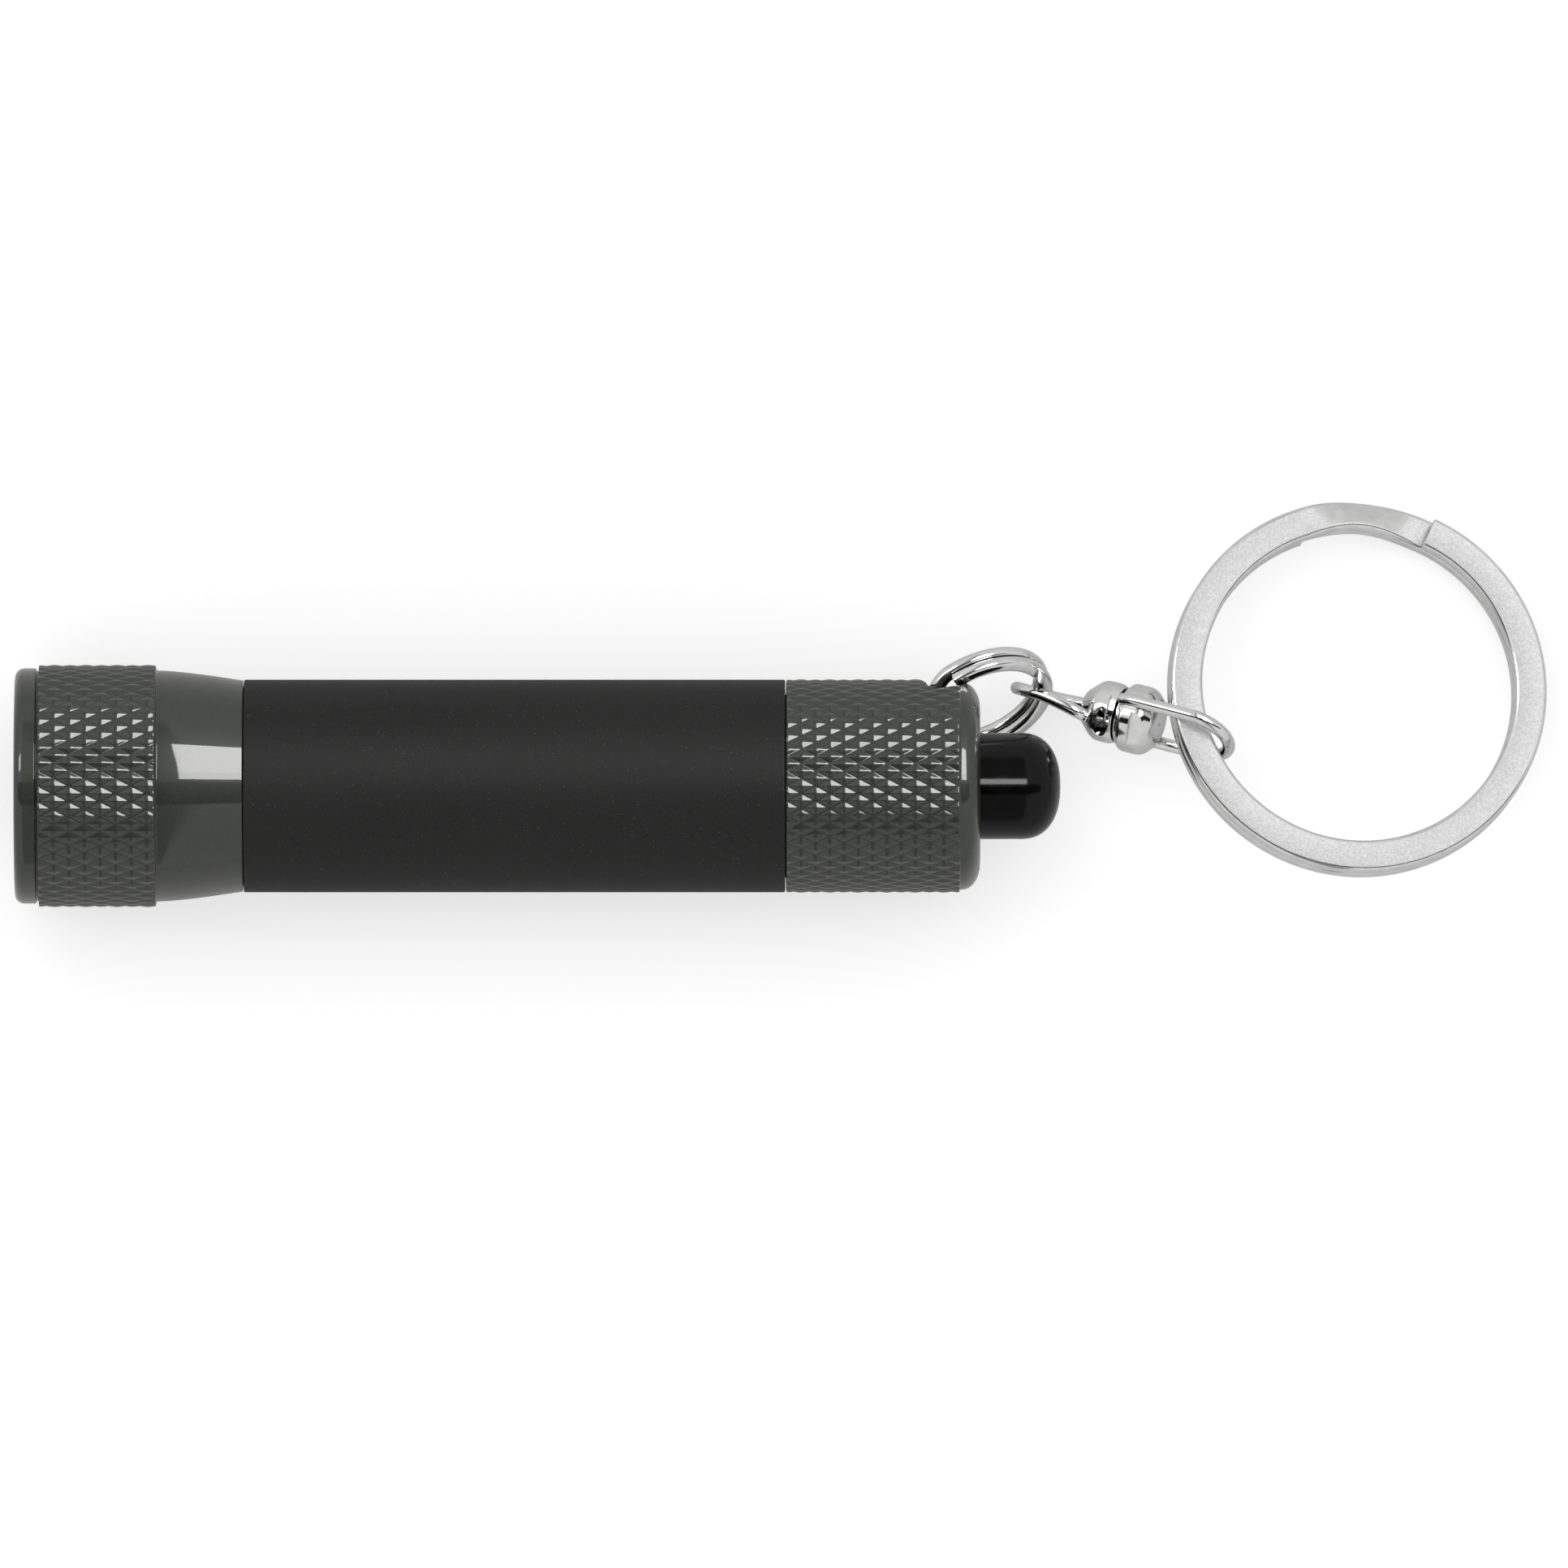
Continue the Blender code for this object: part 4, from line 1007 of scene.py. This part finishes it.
def choose(lamp, pieces, state):
    """The lamp lights only these pieces (INCLUDE), or everything but these (EXCLUDE)."""
    group = bpy.data.collections.new(lamp.name + "_pieces")
    for piece in pieces:
        group.objects.link(piece)
    for entry in group.collection_objects:
        entry.light_linking.link_state = state
    lamp.light_linking.receiver_collection = group


def make_world(bright, dim, dark):
    """A pale surround with a dim strip over the part from front to back, and a dark band across
    it where the camera stands. The camera itself sees it pale."""
    world = bpy.data.worlds.new("studio")
    bpy.context.scene.world = world
    world.use_nodes = True
    tree = world.node_tree
    tree.nodes.clear()
    direction = tree.nodes.new("ShaderNodeTexCoord").outputs["Generated"]
    split = tree.nodes.new("ShaderNodeSeparateXYZ")
    tree.links.new(direction, split.inputs["Vector"])

    def maths(operation, a, b=0.0):
        node = tree.nodes.new("ShaderNodeMath")
        node.operation = operation
        for socket, value in ((0, a), (1, b)):
            if isinstance(value, bpy.types.NodeSocket):
                tree.links.new(value, node.inputs[socket])
            else:
                node.inputs[socket].default_value = value
        return node.outputs["Value"]

    def edge(value, low, high):
        node = tree.nodes.new("ShaderNodeMapRange")
        node.interpolation_type = "SMOOTHSTEP"
        node.inputs["From Min"].default_value = low
        node.inputs["From Max"].default_value = high
        tree.links.new(value, node.inputs["Value"])
        return node.outputs["Result"]

    def tilt(axis):
        turned = maths("ARCTAN2", split.outputs[axis], split.outputs["Z"])
        return maths("MULTIPLY", turned, 180 / math.pi)

    up_tilt, across_tilt = tilt("Y"), tilt("X")

    def card(up_low, up_high, across, soft):
        """1 between the two angles up, and to this angle across on both sides."""
        up = maths("MULTIPLY", edge(up_tilt, up_low - soft, up_low + soft),
                   maths("SUBTRACT", 1.0, edge(up_tilt, up_high - soft, up_high + soft)))
        sides = maths("SUBTRACT", 1.0, edge(maths("ABSOLUTE", across_tilt), across - 3, across + 3))
        return maths("MULTIPLY", up, sides)

    level = maths("ADD", bright, maths("MULTIPLY", card(-84, 66, 13, 6), dim - bright))
    band = card(-19, 4, 62, 1.5)
    level = maths("ADD", maths("MULTIPLY", level, maths("SUBTRACT", 1.0, band)),
                  maths("MULTIPLY", band, dark))
    level = maths("MULTIPLY", level, maths("ADD", 0.9, maths("MULTIPLY", split.outputs["Z"], 0.12)))
    camera = tree.nodes.new("ShaderNodeLightPath").outputs["Is Camera Ray"]
    seen = maths("ADD", maths("MULTIPLY", camera, 0.95),
                 maths("MULTIPLY", maths("SUBTRACT", 1.0, camera), level))
    background = tree.nodes.new("ShaderNodeBackground")
    tree.links.new(seen, background.inputs["Strength"])
    background.inputs["Color"].default_value = (1, 1, 1, 1)
    output = tree.nodes.new("ShaderNodeOutputWorld")
    tree.links.new(background.outputs["Background"], output.inputs["Surface"])


def make_camera(centre):
    """Straight above the part, far enough away that it looks almost without perspective."""
    width = 103.25 * MM  # of the view, at the part
    distance = 3.0
    data = bpy.data.cameras.new("camera")
    data.lens = data.sensor_width * distance / width
    data.clip_end = 50.0
    camera = bpy.data.objects.new("camera", data)
    camera.location = (centre[0], centre[1], distance)
    bpy.context.scene.collection.objects.link(camera)
    bpy.context.scene.camera = camera


# ------------------------------------------------------------------ assembly

GUNMETAL = lacquered_gunmetal()
CHARCOAL = matte_charcoal()
BLACK = black_plastic()
NICKEL = nickel("nickel_plate")
RING_NICKEL = nickel("nickel_tumbled", tuple(key_ring_axes()[1]))
SPRING = nickel("spring_steel", polish=0.2)
CLEAR = clear_plastic()
CHROME = vacuum_chrome()
EPOXY = led_epoxy()
PHOSPHOR = plain("phosphor", (0.85, 0.7, 0.12, 1), (0.7, 0.52, 0.05, 1), 0.05 * MM, 0.5)
RUBBER = plain("black_rubber", rgb(0.01), rgb(0.022), 0.08 * MM, 0.6)
BOARD = plain("board_green", (0.02, 0.12, 0.05, 1), (0.035, 0.19, 0.07, 1), 0.12 * MM, 0.4)
BRASS = plain("brass", (0.55, 0.38, 0.13, 1), (0.68, 0.5, 0.2, 1), 0.06 * MM, 0.25, 1.0)
WHITE = plain("white_moulded_plastic", rgb(0.7, 0.02), rgb(0.78, 0.02), 0.15 * MM, 0.4)
CELL = plain("cell_steel", rgb(0.5), rgb(0.64), 0.05 * MM, 0.22, 1.0, 0.002, (8, 1, 1))


def place(piece, body, slot, *nodes):
    """The piece rides on a body and stands for these CAD nodes, which it hides. slot is not used.
    """
    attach(piece, body)
    if nodes:
        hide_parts(*nodes)


place(make_head(), "head", "gunmetal", "head_shell")
place(make_tube(), "barrel", "charcoal", "body_tube")
place(make_cap(), "barrel", "gunmetal", "tail_cap")
button = make_button()
place(button, "push_button", "black_plastic", "button")
place(make_window(), "head", "clear_plastic", "lens")
place(make_reflector(), "head", "chromed_plastic", "reflector")
dome, phosphor = make_led()
place(dome, "head", "led_epoxy", "led")
place(phosphor, "head", "led_epoxy")
place(make_small_ring(), "small_ring", "bright_steel", "small_split_ring")
key_ring = make_key_ring()
place(key_ring, "ring", "bright_steel", "key_ring")
eye, loop, rivet = make_swivel()
place(eye, "eye_half", "bright_steel", "swivel_eye")
place(loop, "loop_half", "bright_steel", "swivel_loop")
place(rivet, "eye_half", "bright_steel", "swivel_rivet")
spring = make_button_spring()
place(spring, "barrel", "bright_steel", "button_spring")
low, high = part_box("button_spring")
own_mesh(spring)

KEPT = {
    "lens_gasket": RUBBER, "led_board": BOARD, "led_contact": BRASS, "battery_sleeve": WHITE,
    "cell_1": CELL, "cell_2": CELL, "cell_3": CELL, "cell_4": CELL, "battery_spring": SPRING,
    "contact_plate": BRASS, "switch_housing": WHITE, "switch_retainer": BRASS,
    "switch_plunger": WHITE,
}
for node, material in KEPT.items():
    for slot in NODES[node].material_slots:
        slot.material = material

low, high = CAD_BOX
make_floor(low.z)
make_world(bright=0.75, dim=0.3, dark=0.01)
middle = Vector(((low.x + high.x) / 2, 0, 0))
for name, angles, radiance in (("key_softbox", (14, 43), 10.5), ("key_lower", (7, 14.4), 9.5)):
    key = light(name, middle, (9, 38), angles, radiance, "glossy")
    choose(key, (button, key_ring), "EXCLUDE")
choose(light("strip", middle, (-8, 14), (4, 15), 13.0, "glossy"), (button,), "INCLUDE")
choose(light("ring_fill", middle, (-25, 48), (-2, 55), 0.27, "glossy"), (key_ring,), "INCLUDE")
light("left_softbox", middle, (-52, -28), (17, 34), 7.0, "glossy")
light("overhead", middle, (-35, 35), (-20, 45), 0.8, "diffuse")
make_camera((50.03 * MM, 0.13 * MM))
bpy.context.scene.view_settings.view_transform = "Standard"
